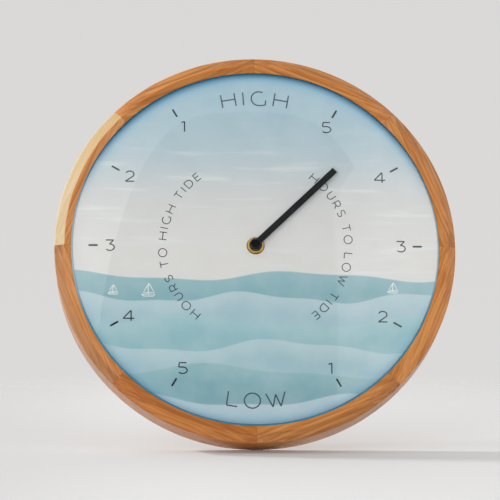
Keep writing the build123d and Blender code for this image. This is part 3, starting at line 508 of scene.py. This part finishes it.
def painted_dial():
    made, tree, shader, where = start_material("dial_print")
    parts = parts_of(tree, scaled(tree, from_dial_centre(tree, where), 1 / DIAL_RADIUS))
    right, up = parts["X"], parts["Z"]
    flat = add(tree, "ShaderNodeCombineXYZ", {"X": right, "Y": up}).outputs[0]
    radius = length_of(tree, flat)
    brush = noise(tree, flat, scale=5.0, detail=5.0, roughness=0.6)
    drift_where = stretched(tree, flat, DRIFT_STRETCH)
    drift = noise(tree, drift_where, scale=1.6, detail=4.0, roughness=0.55)

    sky_place = sum_of(tree, up, product(tree, difference(tree, brush, 0.5), SKY_WAVER))
    colour = ramp(tree, fade(tree, sky_place, *SKY_RISE), SKY_STOPS)
    haze = product(tree, fade(tree, drift, *HAZE_SPREAD), fade(tree, up, *HAZE_RISE))
    colour = mixed(tree, product(tree, haze, HAZE_COVER), colour, tone(HAZE_TONE))
    for wave in WAVES:
        colour = paint_wave(tree, colour, wave, right, up)
    wash = fade(tree, brush, *WASH_SPREAD)
    colour = mixed(tree, product(tree, wash, WASH_COVER), colour, tone(WASH_TONE))

    # Painted shade at the dial's edge, stronger towards the top and bottom, for the frame's shade and the
    # glass edge's tint
    edge_shade_weight = larger(tree, fade(tree, up, *CROWN_RISE), fade(tree, up, *FOOT_FALL))
    edge_shade_halo = product(tree, fade(tree, radius, *EDGE_SHADE_HALO_RADIUS), product(tree, edge_shade_weight, EDGE_SHADE_HALO_COVER))
    colour = mixed(tree, edge_shade_halo, colour, tone(EDGE_SHADE_HALO_TONE))
    rim_shade = fade(tree, radius, *RIM_SHADE_RADIUS)
    rim_shade = product(tree, product(tree, rim_shade, rim_shade), edge_shade_weight)
    colour = mixed(tree, rim_shade, colour, tone(RIM_SHADE_TONE))

    tooth = noise(tree, where, scale=1800.0, detail=3.0, roughness=0.6)
    roughness = fade(tree, tooth, *PAPER_ROUGHNESS)
    link_surface(tree, shader, colour, roughness, tooth, PAPER_RELIEF, PAPER_RELIEF_DEPTH)
    shader.inputs["Specular IOR Level"].default_value = 0.25
    return made


finish_nodes(painted_dial(), "dial_sheet")


# Modelling helpers


def drop_selection():
    bpy.ops.object.select_all(action="DESELECT")


def draw_lines(name, lines):
    """A curve of straight runs through the points of each line."""
    data = bpy.data.curves.new(name, "CURVE")
    data.dimensions = "3D"
    for points in lines:
        line = data.splines.new("POLY")
        line.points.add(len(points) - 1)
        for point, spot in zip(line.points, points):
            point.co = (*spot, 1.0)
    drawn = bpy.data.objects.new(name, data)
    scene.collection.objects.link(drawn)
    return drawn


def make_mesh(drawn, scale, material):
    """Turns a curve into a mesh, applies its scale and its place on the dial, and gives it its finish."""
    drop_selection()
    drawn.select_set(True)
    bpy.context.view_layer.objects.active = drawn
    bpy.ops.object.convert(target="MESH")
    piece = bpy.context.object
    piece.scale = scale
    piece.location = DIAL_CENTRE
    bpy.ops.object.transform_apply(location=True, rotation=True, scale=True)
    piece.data.materials.clear()
    piece.data.materials.append(material)
    return piece


# Domed glass and its blue bead

GLASS_TINT = (0.985, 1.0, 0.995, 1.0)
GLASS_IOR = 1.45
GLASS_SMEAR = (0.35, 0.75, 0.0, 0.008)
GLASS_RADIUS = 136.3 * MM
GLASS_THICKNESS = 1.8 * MM
GLASS_STEPS = 26
GLASS_TURNS = 160
WELD_DISTANCE = 0.001 * MM


def clear_glass():
    """Clear glass with a faint smear, which lets the lamps' light through to the dial."""
    made, tree, shader, where = start_material("clear_glass")
    shader.inputs["Base Color"].default_value = GLASS_TINT
    shader.inputs["Transmission Weight"].default_value = 1.0
    shader.inputs["IOR"].default_value = GLASS_IOR
    smear = noise(tree, where, scale=35.0, detail=4.0, roughness=0.6)
    tree.links.new(fade(tree, smear, *GLASS_SMEAR), shader.inputs["Roughness"])
    through = tree.nodes.new("ShaderNodeBsdfTransparent").outputs[0]
    shadow = tree.nodes.new("ShaderNodeLightPath").outputs["Is Shadow Ray"]
    blend = add(tree, "ShaderNodeMixShader", {0: shadow, 1: shader.outputs[0], 2: through}).outputs[0]
    tree.links.new(blend, tree.nodes["Material Output"].inputs["Surface"])
    return made


def spin_glass(material):
    """The domed glass: inner and outer arc of its section, spun round the dial's axis."""
    apex = DIAL_CENTRE.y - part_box("domed_glass")[0].y
    rise = apex - GLASS_THICKNESS
    inner_ball = (GLASS_RADIUS**2 + rise**2) / (2 * rise)
    outer_ball = inner_ball + GLASS_THICKNESS
    middle = rise - inner_ball
    radii = [GLASS_RADIUS * step / GLASS_STEPS for step in range(GLASS_STEPS + 1)]
    inner = [(radius, -middle - math.sqrt(inner_ball**2 - radius**2), 0.0) for radius in radii]
    outer = [(radius, -middle - math.sqrt(outer_ball**2 - radius**2), 0.0) for radius in radii]
    glass = make_mesh(draw_lines("domed_watch_glass", [inner + outer[::-1]]), NO_STRETCH, material)
    bpy.ops.object.mode_set(mode="EDIT")
    bpy.ops.mesh.select_all(action="SELECT")
    bpy.ops.mesh.spin(steps=GLASS_TURNS, angle=math.tau, center=DIAL_CENTRE, axis=(0.0, 1.0, 0.0))
    bpy.ops.mesh.select_all(action="SELECT")
    bpy.ops.mesh.remove_doubles(threshold=WELD_DISTANCE)
    bpy.ops.mesh.normals_make_consistent(inside=False)
    bpy.ops.object.mode_set(mode="OBJECT")
    bpy.ops.object.shade_smooth_by_angle(angle=SMOOTH_ANGLE)
    drop_selection()
    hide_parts("domed_glass")
    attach(glass, "clock")


watch_glass = clear_glass()
finish_nodes(watch_glass, "domed_glass")
spin_glass(watch_glass)

# Painted light on the bead: a pale reflection at the sides and a deep teal shade at the top
BEAD_REFLECTION_SIDES = (DIAL_RADIUS * 0.45, DIAL_RADIUS * 0.15)
BEAD_SIDE_REFLECTION_TONE = "93ADBA"
BEAD_SIDE_REFLECTION_COVER = 0.85
BEAD_SHADE_TOP = (DIAL_RADIUS * 0.35, DIAL_RADIUS * 0.75)
BEAD_TOP_SHADE_TONE = "004E66"
BEAD_TOP_SHADE_COVER = 0.9


def blue_bead():
    """Blue sealant with painted light: a painted deep teal shade at the top, where the frame shades it, and
    a painted pale reflection at the sides.
    """
    made = grained("blue_bead", "36809C", "286A88", scale=300.0, smooth=0.18, rough=0.32, relief=0.1)
    tree, shader, colour, where = open_finish(made)
    height = parts_of(tree, from_dial_centre(tree, where))["Z"]
    sides = fade(tree, size_of(tree, height), *BEAD_REFLECTION_SIDES)
    top = fade(tree, height, *BEAD_SHADE_TOP)
    colour = mixed(tree, product(tree, sides, BEAD_SIDE_REFLECTION_COVER), colour, tone(BEAD_SIDE_REFLECTION_TONE))
    colour = mixed(tree, product(tree, top, BEAD_TOP_SHADE_COVER), colour, tone(BEAD_TOP_SHADE_TONE))
    tree.links.new(colour, shader.inputs["Base Color"])
    shader.inputs["Specular IOR Level"].default_value = 0.2
    return made


finish_nodes(blue_bead(), "glass_bead")


# Hand, fittings and movement

black_hand = grained("black_hand", "28292A", "1F2021", scale=700.0, smooth=0.4, rough=0.55, relief=0.15)
black_hand.node_tree.nodes["Principled BSDF"].inputs["Specular IOR Level"].default_value = 0.2
finish_nodes(black_hand, "tide_hand")
finish_nodes(
    grained("polished_black_cap", "14171B", "0D0F12", scale=500.0, smooth=0.16, rough=0.26, relief=0.05),
    "hand_cap",
)
finish_nodes(
    grained("turned_brass", "F4C978", "DDAE56", scale=500.0, smooth=0.1, rough=0.2, relief=0.08, metal=1.0),
    "shaft_nut",
    "dial_washer",
    "threaded_bush",
)
brushed_steel = grained(
    "brushed_steel",
    "C9CBCC",
    "9B9EA1",
    scale=700.0,
    smooth=0.26,
    rough=0.44,
    relief=0.15,
    metal=1.0,
    stretch=(0.15, 1.0, 1.0),
)
finish_nodes(
    brushed_steel,
    "hanger_plate",
    "hanger_screws",
    "retaining_points",
    "movement_screws",
    "stator",
    "coil_core",
    "quartz_crystal",
    "positive_contact",
    "negative_contact",
    "clutch_spring",
)
finish_nodes(
    grained("black_moulded_plastic", "292A2C", "212224", scale=4200.0, smooth=0.45, rough=0.6, relief=0.35),
    "movement_case",
    "movement_cover",
    "coil_bobbin",
    "setting_knob",
)
finish_nodes(
    grained("white_gear_plastic", "F0EFEA", "DDDBD3", scale=900.0, smooth=0.35, rough=0.5, relief=0.12),
    "tide_wheel",
    "setting_arbor",
    "clutch_wheel",
    "third_wheel",
    "second_wheel",
    "first_wheel",
    "rotor_pinion",
    "train_bridge",
)
finish_nodes(
    grained("fibre_board", "9E784F", "87633D", scale=1800.0, smooth=0.75, rough=0.92, relief=0.5),
    "backing_board",
)
finish_nodes(
    grained("black_rubber", "262627", "18181A", scale=1500.0, smooth=0.7, rough=0.88, relief=0.35),
    "rubber_washer",
)
finish_nodes(
    grained("grey_magnet", "6B6D70", "4B4D50", scale=1200.0, smooth=0.4, rough=0.6, relief=0.2, metal=0.7),
    "rotor_magnet",
)
copper_winding = grained(
    "copper_winding",
    "C57A45",
    "8E4E26",
    scale=900.0,
    smooth=0.28,
    rough=0.45,
    relief=0.6,
    metal=1.0,
    stretch=(6.0, 0.4, 0.4),
)
finish_nodes(copper_winding, "coil_winding")
finish_nodes(
    grained("green_circuit", "2F7A4C", "1C5A36", scale=900.0, smooth=0.3, rough=0.45, relief=0.15),
    "circuit_board",
)
finish_nodes(
    grained("black_resin", "202124", "131416", scale=500.0, smooth=0.2, rough=0.4, relief=0.25),
    "chip_cover",
)

CELL_NUB = 1.0 * MM
BARE_EDGE = 0.3 * MM
BARE_STEEL_TONE = "C4C6C8"


def cell_jacket():
    """A cell with a plain jacket and bare steel at both ends."""
    made = grained("cell_jacket", "4A7F86", "437981", scale=600.0, smooth=0.25, rough=0.36, relief=0.05)
    tree, shader, jacket, where = open_finish(made)
    along = parts_of(tree, where)["X"]
    low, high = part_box("battery_cell")
    flat_end = fade(tree, along, low.x + BARE_EDGE, low.x)
    cap_end = fade(tree, along, high.x - CELL_NUB - BARE_EDGE, high.x - CELL_NUB)
    bare = larger(tree, flat_end, cap_end)
    tree.links.new(mixed(tree, bare, jacket, tone(BARE_STEEL_TONE)), shader.inputs["Base Color"])
    tree.links.new(bare, shader.inputs["Metallic"])
    return made


finish_nodes(cell_jacket(), "battery_cell")


# Dial lettering: thin printed strokes, each letter one unit high with its width first

ARC_STEP = 9.0


def arc(across, up, half_width, half_height, start, end):
    """Points along part of an oval, angles in degrees counter-clockwise from the right."""
    steps = max(3, round(abs(end - start) / ARC_STEP))
    turns = [math.radians(start + (end - start) * step / steps) for step in range(steps + 1)]
    return [(across + half_width * math.cos(turn), up + half_height * math.sin(turn)) for turn in turns]


LETTERS = {
    "H": (0.98, [[(0, 0), (0, 1)], [(0.98, 0), (0.98, 1)], [(0, 0.52), (0.98, 0.52)]]),
    "I": (0.0, [[(0, 0), (0, 1)]]),
    "G": (1.06, [arc(0.55, 0.5, 0.55, 0.53, 62, 275) + [(1.02, 0.02)], [(1.02, 0.02), (1.04, 0.38)]]),
    "L": (0.76, [[(0, 1), (0, 0)], [(0, 0), (0.76, 0)]]),
    "O": (1.12, [arc(0.56, 0.5, 0.56, 0.54, 90, 450)]),
    "W": (
        1.36,
        [[(0, 1), (0.4, 0)], [(0.4, 0), (0.68, 0.88)], [(0.68, 0.88), (0.96, 0)], [(0.96, 0), (1.36, 1)]],
    ),
    "U": (0.82, [[(0, 1)] + arc(0.41, 0.38, 0.41, 0.4, 180, 360) + [(0.82, 1)]]),
    "R": (
        0.76,
        [
            [(0, 0), (0, 1)],
            [(0, 1)] + arc(0.42, 0.68, 0.32, 0.32, 90, -90) + [(0, 0.36)],
            [(0.42, 0.36), (0.76, 0)],
        ],
    ),
    "S": (0.74, [arc(0.37, 0.75, 0.34, 0.26, 38, 262) + arc(0.37, 0.245, 0.36, 0.255, 84, -142)]),
    "T": (0.84, [[(0, 1), (0.84, 1)], [(0.42, 1), (0.42, 0)]]),
    "D": (0.94, [[(0, 0), (0, 1)], [(0, 1)] + arc(0.42, 0.5, 0.52, 0.5, 90, -90) + [(0, 0)]]),
    "E": (0.68, [[(0, 0), (0, 1)], [(0, 1), (0.68, 1)], [(0, 0.52), (0.6, 0.52)], [(0, 0), (0.68, 0)]]),
    "1": (0.3, [[(0, 0.9), (0.3, 1)], [(0.3, 1), (0.3, 0)]]),
    "2": (0.82, [arc(0.4, 0.69, 0.38, 0.31, 158, -38) + [(0.0, 0.0)], [(0, 0), (0.82, 0)]]),
    "3": (
        0.82,
        [
            [(0.04, 1), (0.76, 1)],
            [(0.76, 1), (0.38, 0.61)],
            [(0.38, 0.61)] + arc(0.42, 0.305, 0.4, 0.305, 85, -142),
        ],
    ),
    "4": (1.02, [[(0.7, 1), (0, 0.25)], [(0, 0.25), (1.02, 0.25)], [(0.72, 0.98), (0.72, 0)]]),
    "5": (
        0.84,
        [
            [(0.78, 1), (0.12, 1)],
            [(0.12, 1), (0.07, 0.6)],
            [(0.07, 0.6), (0.4, 0.6)] + arc(0.42, 0.3, 0.42, 0.3, 90, -142),
        ],
    ),
}
INK_HEIGHT = 0.04 * MM
STROKE_ROUNDNESS = 2


def printing_ink(name, light, dark):
    return grained(name, light, dark, scale=1500.0, smooth=0.55, rough=0.7, relief=0.05)


def print_strokes(name, strokes, width, material):
    """Lays printed strokes on the dial: round lines, made a mesh, flattened to the ink's height."""
    drawn = draw_lines(name, [[(across, 0.0, up) for across, up in stroke] for stroke in strokes])
    drawn.data.bevel_depth = width / 2
    drawn.data.bevel_resolution = STROKE_ROUNDNESS
    drawn.data.use_fill_caps = True
    ink = make_mesh(drawn, (1.0, INK_HEIGHT / (width / 2), 1.0), material)
    bpy.ops.object.shade_smooth_by_angle(angle=SMOOTH_ANGLE)
    drop_selection()
    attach(ink, "clock")


def letter_strokes(letter, height, middle, rightward, upward):
    """One letter's strokes, centred at a point of the dial, along the two given directions."""
    width, strokes = LETTERS[letter]
    placed = []
    for stroke in strokes:
        points = []
        for across, up in stroke:
            spot = middle + rightward * ((across - width / 2) * height) + upward * ((up - 0.5) * height)
            points.append((spot.x, spot.y))
        placed.append(points)
    return placed


def outward(turn):
    """The direction from the dial's centre at an angle clockwise from the top."""
    return Vector((math.sin(turn), math.cos(turn)))


def clockwise(turn):
    """The direction along the dial's edge at an angle clockwise from the top."""
    return Vector((math.cos(turn), -math.sin(turn)))


# A space between words takes this many more gaps than stand between two letters
SPACE_GAPS = 1.1


def arc_word(words, height, radius, start, end, tops_outward=True):
    """A line of letters spread evenly along an arc, start and end in degrees clockwise from the top."""
    letters = words.replace(" ", "")
    widths = sum(LETTERS[letter][0] for letter in letters) * height
    gaps = len(letters) - 1 + words.count(" ") * SPACE_GAPS
    gap = (math.radians(abs(end - start)) * radius - widths) / gaps
    way = 1 if end > start else -1
    travelled = 0.0
    strokes = []
    for letter in words:
        if letter == " ":
            travelled += gap * SPACE_GAPS
            continue
        width = LETTERS[letter][0] * height
        turn = math.radians(start) + way * (travelled + width / 2) / radius
        travelled += width + gap
        upward = outward(turn) if tops_outward else -outward(turn)
        rightward = clockwise(turn) if tops_outward else -clockwise(turn)
        strokes += letter_strokes(letter, height, outward(turn) * radius, rightward, upward)
    return strokes


WORD_HEIGHT = 10.5 * MM
WORD_STROKE = 1.0 * MM
HIGH_RADIUS = 117 * MM
LOW_RADIUS = 118.5 * MM
LINE_HEIGHT = 5.7 * MM
LINE_STROKE = 0.66 * MM
LINE_RADIUS = 69.5 * MM
NUMBER_HEIGHT = 8.1 * MM
NUMBER_STROKE = 0.9 * MM
NUMBER_RADIUS = 108.6 * MM
RIGHT_WAY = Vector((1.0, 0.0))
UP_WAY = Vector((0.0, 1.0))
word_ink = printing_ink("slate_word_ink", "465462", "384654")
number_ink = printing_ink("slate_number_ink", "1C2731", "141D26")

high_word = arc_word("HIGH", WORD_HEIGHT, HIGH_RADIUS, start=-12.3, end=12.3)
low_word = arc_word("LOW", WORD_HEIGHT, LOW_RADIUS, start=190.4, end=169.6, tops_outward=False)
high_line = arc_word("HOURS TO HIGH TIDE", LINE_HEIGHT, LINE_RADIUS, start=218, end=322.5)
low_line = arc_word("HOURS TO LOW TIDE", LINE_HEIGHT, LINE_RADIUS, start=37.5, end=142)
hour_numbers = []
for hour, digit in enumerate("54321 54321", start=1):
    if digit != " ":
        spot = outward(math.radians(HOUR_DEGREES * hour)) * NUMBER_RADIUS
        hour_numbers += letter_strokes(digit, NUMBER_HEIGHT, spot, RIGHT_WAY, UP_WAY)
print_strokes("high_word", high_word, WORD_STROKE, word_ink)
print_strokes("low_word", low_word, WORD_STROKE, word_ink)
print_strokes("hours_to_high_line", high_line, LINE_STROKE, number_ink)
print_strokes("hours_to_low_line", low_line, LINE_STROKE, number_ink)
print_strokes("hour_numbers", hour_numbers, NUMBER_STROKE, number_ink)


# Three small boats in white lines on the sea: one drawing, one unit high, and each boat's place and height

BOAT = (
    ((-0.5, 0.14), (-0.34, 0.0), (0.36, 0.0), (0.52, 0.14), (-0.5, 0.14)),
    ((0.0, 0.14), (0.0, 1.0)),
    ((0.06, 0.98), (0.46, 0.26), (0.06, 0.26)),
    ((-0.06, 0.82), (-0.36, 0.26), (-0.06, 0.26)),
)
BOATS = (
    (-0.58 * DIAL_RADIUS, -0.285 * DIAL_RADIUS, 10.0 * MM),
    (-0.77 * DIAL_RADIUS, -0.275 * DIAL_RADIUS, 7.5 * MM),
    (0.74 * DIAL_RADIUS, -0.262 * DIAL_RADIUS, 8.0 * MM),
)
BOAT_STROKE = 0.6 * MM
boat_lines = []
for across, up, height in BOATS:
    for line in BOAT:
        boat_lines.append([(across + x * height, up + z * height) for x, z in line])
print_strokes("boat_drawings", boat_lines, BOAT_STROKE, printing_ink("white_ink", "F7F8F7", "EFF1F0"))


# Hour marks: one bar with rounded corners, copied round the dial

MARK_LENGTH = 6.8 * MM
MARK_WIDTH = 1.3 * MM
MARK_RADIUS = 121 * MM
MARK_CORNER = 0.2 * MM
MARK_CORNER_STEPS = 3
EDGE_ALONG_Y = 0.9
MARK_HOURS = (1, 2, 3, 4, 5, 7, 8, 9, 10, 11)


def model_hour_mark():
    """The bar at the top of the dial, its four upright corners rounded."""
    bpy.ops.mesh.primitive_cube_add(
        size=1.0,
        location=DIAL_CENTRE + Vector((0.0, 0.0, MARK_RADIUS)),
        scale=(MARK_WIDTH, 2 * INK_HEIGHT, MARK_LENGTH),
    )
    bar = bpy.context.object
    bpy.ops.object.transform_apply(location=True, rotation=True, scale=True)
    bpy.ops.object.mode_set(mode="EDIT")
    bpy.ops.mesh.select_all(action="DESELECT")
    bpy.ops.object.mode_set(mode="OBJECT")
    for edge in bar.data.edges:
        ends = [bar.data.vertices[corner].co for corner in edge.vertices]
        edge.select = abs((ends[0] - ends[1]).normalized().y) > EDGE_ALONG_Y
    bpy.ops.object.mode_set(mode="EDIT")
    bpy.ops.mesh.select_mode(type="EDGE")
    bpy.ops.mesh.bevel(offset=MARK_CORNER, segments=MARK_CORNER_STEPS)
    bpy.ops.object.mode_set(mode="OBJECT")
    return bar


def print_hour_marks():
    bar = model_hour_mark()
    copies = []
    for hour in MARK_HOURS:
        mark = bar.copy()
        mark.data = bar.data.copy()
        scene.collection.objects.link(mark)
        turn = Matrix.Rotation(math.radians(HOUR_DEGREES * hour), 4, "Y")
        mark.data.transform(Matrix.Translation(DIAL_CENTRE) @ turn @ Matrix.Translation(-DIAL_CENTRE))
        copies.append(mark)
    bpy.data.objects.remove(bar)
    drop_selection()
    for mark in copies:
        mark.select_set(True)
    bpy.context.view_layer.objects.active = copies[0]
    bpy.ops.object.join()
    marks = bpy.context.object
    marks.name = "hour_marks"
    marks.data.name = "hour_marks"
    marks.data.materials.append(printing_ink("navy_mark_ink", "0E2436", "0A1A28"))
    drop_selection()
    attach(marks, "clock")


print_hour_marks()


# Room: its soft light, the backdrop that the camera sees, and what the glass mirrors
# Places in the mirrored room are side and rise: how far right and how far up for one unit to the front

FRONT_LEAST = 0.02
DIM_SOFT = (0.0, 0.015)
DIM_LEFT_EDGE = (-0.46, -0.445)
DIM_RIGHT_EDGE = 0.296
DIM_RIGHT_BEND = 1.28
DIM_BEND_START = 0.35
DIM_MIDDLE = 0.03
DIM_TOP_EDGE = 0.876
DIM_TOP_BEND = 15.0
DIM_FRONT = (-0.2, -0.4)
DIM_TONE = "1C1C1C"
WALLS = (0.2, 0.6)
FRONT_LIGHT = (0.5, 0.5, 0.5, 1.0)
WALL_LIGHT = (1.05, 1.05, 1.04, 1.0)
GROUND = (-0.6, -1.0)
GROUND_LIGHT = (0.12, 0.1, 0.08, 1.0)
WINDOW_RIGHT_EDGE = (-0.95, -1.15)
WINDOW_LEFT_EDGE = (-4.0, -3.0)
WINDOW_SILL = (-0.5, -0.3)
WINDOW_LIGHT = (3.2, 3.2, 3.1, 1.0)
STRIP_LEFT_EDGE = (1.0, 1.1)
STRIP_RIGHT_EDGE = (2.2, 2.0)
STRIP_LIGHT = (2.2, 2.2, 2.2, 1.0)
BEHIND = (-0.05, 0.1)
BEHIND_LIGHT = (0.95, 0.95, 0.94, 1.0)
SHADED_SIDE = (0.02, 0.12)
SHADED_LIGHT = (0.3, 0.3, 0.3, 1.0)
AMBIENT_FRONT = (0.62, 0.62, 0.625, 1.0)
AMBIENT_BEHIND = (1.3, 1.3, 1.31, 1.0)
BACKDROP_RISE = (-0.1, 0.5)
BACKDROP_LOW_TONE = "DEDDDC"
BACKDROP_HIGH_TONE = "D9D8D6"


def dim_patch(tree, side, rise, depth):
    """A mask of the dim patch that the glass shows in its middle, with a bent right and upper edge."""
    over = larger(tree, difference(tree, rise, DIM_BEND_START), 0.0)
    right_edge = sum_of(tree, product(tree, product(tree, over, over), DIM_RIGHT_BEND), DIM_RIGHT_EDGE)
    from_middle = difference(tree, side, DIM_MIDDLE)
    squared = product(tree, from_middle, from_middle)
    top_edge = product(tree, product(tree, squared, squared), DIM_TOP_BEND)
    top_edge = difference(tree, DIM_TOP_EDGE, top_edge)
    left_of_edge = fade(tree, difference(tree, right_edge, side), *DIM_SOFT)
    dim = product(tree, fade(tree, side, *DIM_LEFT_EDGE), left_of_edge)
    dim = product(tree, dim, fade(tree, difference(tree, top_edge, rise), *DIM_SOFT))
    return product(tree, dim, fade(tree, depth, *DIM_FRONT))


def mirrored_room(tree, parts, behind):
    """What glass and metal mirror: a dim patch, pale walls, a window, a strip of light and the back."""
    front = larger(tree, product(tree, parts["Y"], -1.0), FRONT_LEAST)
    side = ratio(tree, parts["X"], front)
    rise = ratio(tree, parts["Z"], front)
    room = mixed(tree, fade(tree, size_of(tree, side), *WALLS), FRONT_LIGHT, WALL_LIGHT)
    room = mixed(tree, dim_patch(tree, side, rise, parts["Y"]), room, tone(DIM_TONE))
    room = mixed(tree, fade(tree, rise, *GROUND), room, GROUND_LIGHT)
    window = product(tree, fade(tree, side, *WINDOW_RIGHT_EDGE), fade(tree, side, *WINDOW_LEFT_EDGE))
    window = product(tree, window, fade(tree, rise, *WINDOW_SILL))
    room = mixed(tree, window, room, WINDOW_LIGHT)
    strip = product(tree, fade(tree, side, *STRIP_LEFT_EDGE), fade(tree, side, *STRIP_RIGHT_EDGE))
    room = mixed(tree, strip, room, STRIP_LIGHT)
    room = mixed(tree, behind, room, BEHIND_LIGHT)
    shaded = product(tree, behind, fade(tree, parts["X"], *SHADED_SIDE))
    return mixed(tree, shaded, room, SHADED_LIGHT)


def light_room():
    world = bpy.data.worlds.new("pale_room")
    scene.world = world
    world.use_nodes = True
    tree = world.node_tree
    parts = parts_of(tree, tree.nodes.new("ShaderNodeTexCoord").outputs["Generated"])
    path = tree.nodes.new("ShaderNodeLightPath").outputs
    behind = fade(tree, parts["Y"], *BEHIND)
    room = mirrored_room(tree, parts, behind)
    ambient = mixed(tree, behind, AMBIENT_FRONT, AMBIENT_BEHIND)
    height = fade(tree, parts["Z"], *BACKDROP_RISE)
    backdrop = mixed(tree, height, tone(BACKDROP_LOW_TONE), tone(BACKDROP_HIGH_TONE))
    seen = larger(tree, path["Is Camera Ray"], path["Is Transmission Ray"])
    colour = mixed(tree, path["Is Glossy Ray"], ambient, room)
    colour = mixed(tree, seen, colour, backdrop)
    # Rays that were mirrored under the glass and leave through it meet the room, not the backdrop
    scattered = smaller(tree, path["Diffuse Depth"], 1.0)
    mirrored = difference(tree, smaller(tree, path["Glossy Depth"], 1.0), scattered)
    through = product(tree, path["Is Transmission Ray"], larger(tree, mirrored, 0.0))
    colour = mixed(tree, through, colour, room)
    tree.links.new(colour, tree.nodes["Background"].inputs["Color"])


light_room()


# Lamps


def add_lamp(name, direction, distance, width, height, radiance):
    """A soft lamp with a flat even face, aimed at the dial, that the glass doesn't show."""
    data = bpy.data.lights.new(name, "AREA")
    data.shape = "RECTANGLE"
    data.size = width
    data.size_y = height
    data.energy = radiance * math.pi * width * height
    lamp = bpy.data.objects.new(name, data)
    scene.collection.objects.link(lamp)
    towards = Vector(direction).normalized()
    lamp.location = DIAL_CENTRE + towards * distance
    lamp.rotation_mode = "QUATERNION"
    lamp.rotation_quaternion = towards.to_track_quat("Z", "Y")
    lamp.visible_glossy = False
    lamp.visible_transmission = False


add_lamp("key_lamp", (-0.36, -0.93, 0.02), distance=1.9, width=0.9, height=0.9, radiance=3.2)
add_lamp("low_lamp", (-0.2, -0.9, -0.33), distance=1.6, width=1.0, height=0.5, radiance=5.0)
add_lamp("top_lamp", (-0.1, -0.45, 0.9), distance=1.6, width=1.2, height=0.6, radiance=0.6)
add_lamp("left_back_lamp", (-0.9, 0.1, 0.55), distance=3.2, width=0.24, height=0.24, radiance=490.0)
add_lamp("left_front_lamp", (-0.93, -0.16, 0.42), distance=3.2, width=0.24, height=0.24, radiance=110.0)


# Floor that the clock leans up from, its middle at the back of the clock's lowest point

FLOOR_LEAN = math.radians(19.0)
FLOOR_RADIUS = 0.75
FLOOR_SIDES = 96
FLOOR_EDGE = (FLOOR_RADIUS, FLOOR_RADIUS * 0.45)
# The floor's darker left tone is painted shade against the left lamps' stronger light
FLOOR_LEFT_SHADE_TONE = "AFAEAE"
FLOOR_TONE = "C3C2C1"
FLOOR_TONE_CHANGE = (-0.25, -0.02)
FLOOR_ROUGHNESS = 0.9
GLOW_TONE = "F4F3F2"
GLEAM_REACH = (0.03, 0.1)
GLEAM_SIDE = (0.1, 0.02, 0.1, 1.0)
GLEAM_DEPTH = (-0.05, 0.02)
BOUNCE_REACH = (0.008, 0.035, 0.1, 0.95)
SEEN_REACH = (0.0, 0.12, 0.07, 0.09)


def pale_floor():
    """A pale floor that fades out at its edge, glows a little, and is clear from below."""
    made, tree, shader, where = start_material("pale_floor")
    reach = length_of(tree, where)
    spots = parts_of(tree, where)
    path = tree.nodes.new("ShaderNodeLightPath").outputs
    # Painted shade: the floor is darker on its left, where the left lamps light it most, so that it shows
    # evenly bright
    change = fade(tree, spots["X"], *FLOOR_TONE_CHANGE)
    colour = mixed(tree, change, tone(FLOOR_LEFT_SHADE_TONE), tone(FLOOR_TONE))
    tree.links.new(colour, shader.inputs["Base Color"])
    shader.inputs["Roughness"].default_value = FLOOR_ROUGHNESS
    gleam = product(tree, fade(tree, reach, *GLEAM_REACH), fade(tree, spots["X"], *GLEAM_SIDE))
    gleam = product(tree, gleam, fade(tree, spots["Y"], *GLEAM_DEPTH))
    gleam = product(tree, gleam, path["Is Glossy Ray"])
    bounce = product(tree, path["Is Diffuse Ray"], fade(tree, reach, *BOUNCE_REACH))
    seen = product(tree, path["Is Camera Ray"], fade(tree, reach, *SEEN_REACH))
    glowing = sum_of(tree, seen, sum_of(tree, gleam, bounce))
    glow = add(tree, "ShaderNodeEmission", {"Color": tone(GLOW_TONE), "Strength": 1.0}).outputs[0]
    lit = add(tree, "ShaderNodeMixShader", {0: glowing, 1: shader.outputs[0], 2: glow}).outputs[0]
    clear = tree.nodes.new("ShaderNodeBsdfTransparent").outputs[0]
    below = tree.nodes.new("ShaderNodeNewGeometry").outputs["Backfacing"]
    solid = product(tree, fade(tree, reach, *FLOOR_EDGE), difference(tree, 1.0, below))
    surface = add(tree, "ShaderNodeMixShader", {0: solid, 1: clear, 2: lit}).outputs[0]
    tree.links.new(surface, tree.nodes["Material Output"].inputs["Surface"])
    return made


def lay_floor():
    bpy.ops.mesh.primitive_circle_add(vertices=FLOOR_SIDES, radius=FLOOR_RADIUS, fill_type="NGON")
    floor = bpy.context.object
    floor.name = "floor"
    lowest_point = Vector((0.0, 0.0, cad_box[0].z))
    floor.matrix_world = Matrix.Translation(lowest_point) @ Matrix.Rotation(FLOOR_LEAN, 4, "X")
    floor.data.materials.append(pale_floor())
    drop_selection()


lay_floor()
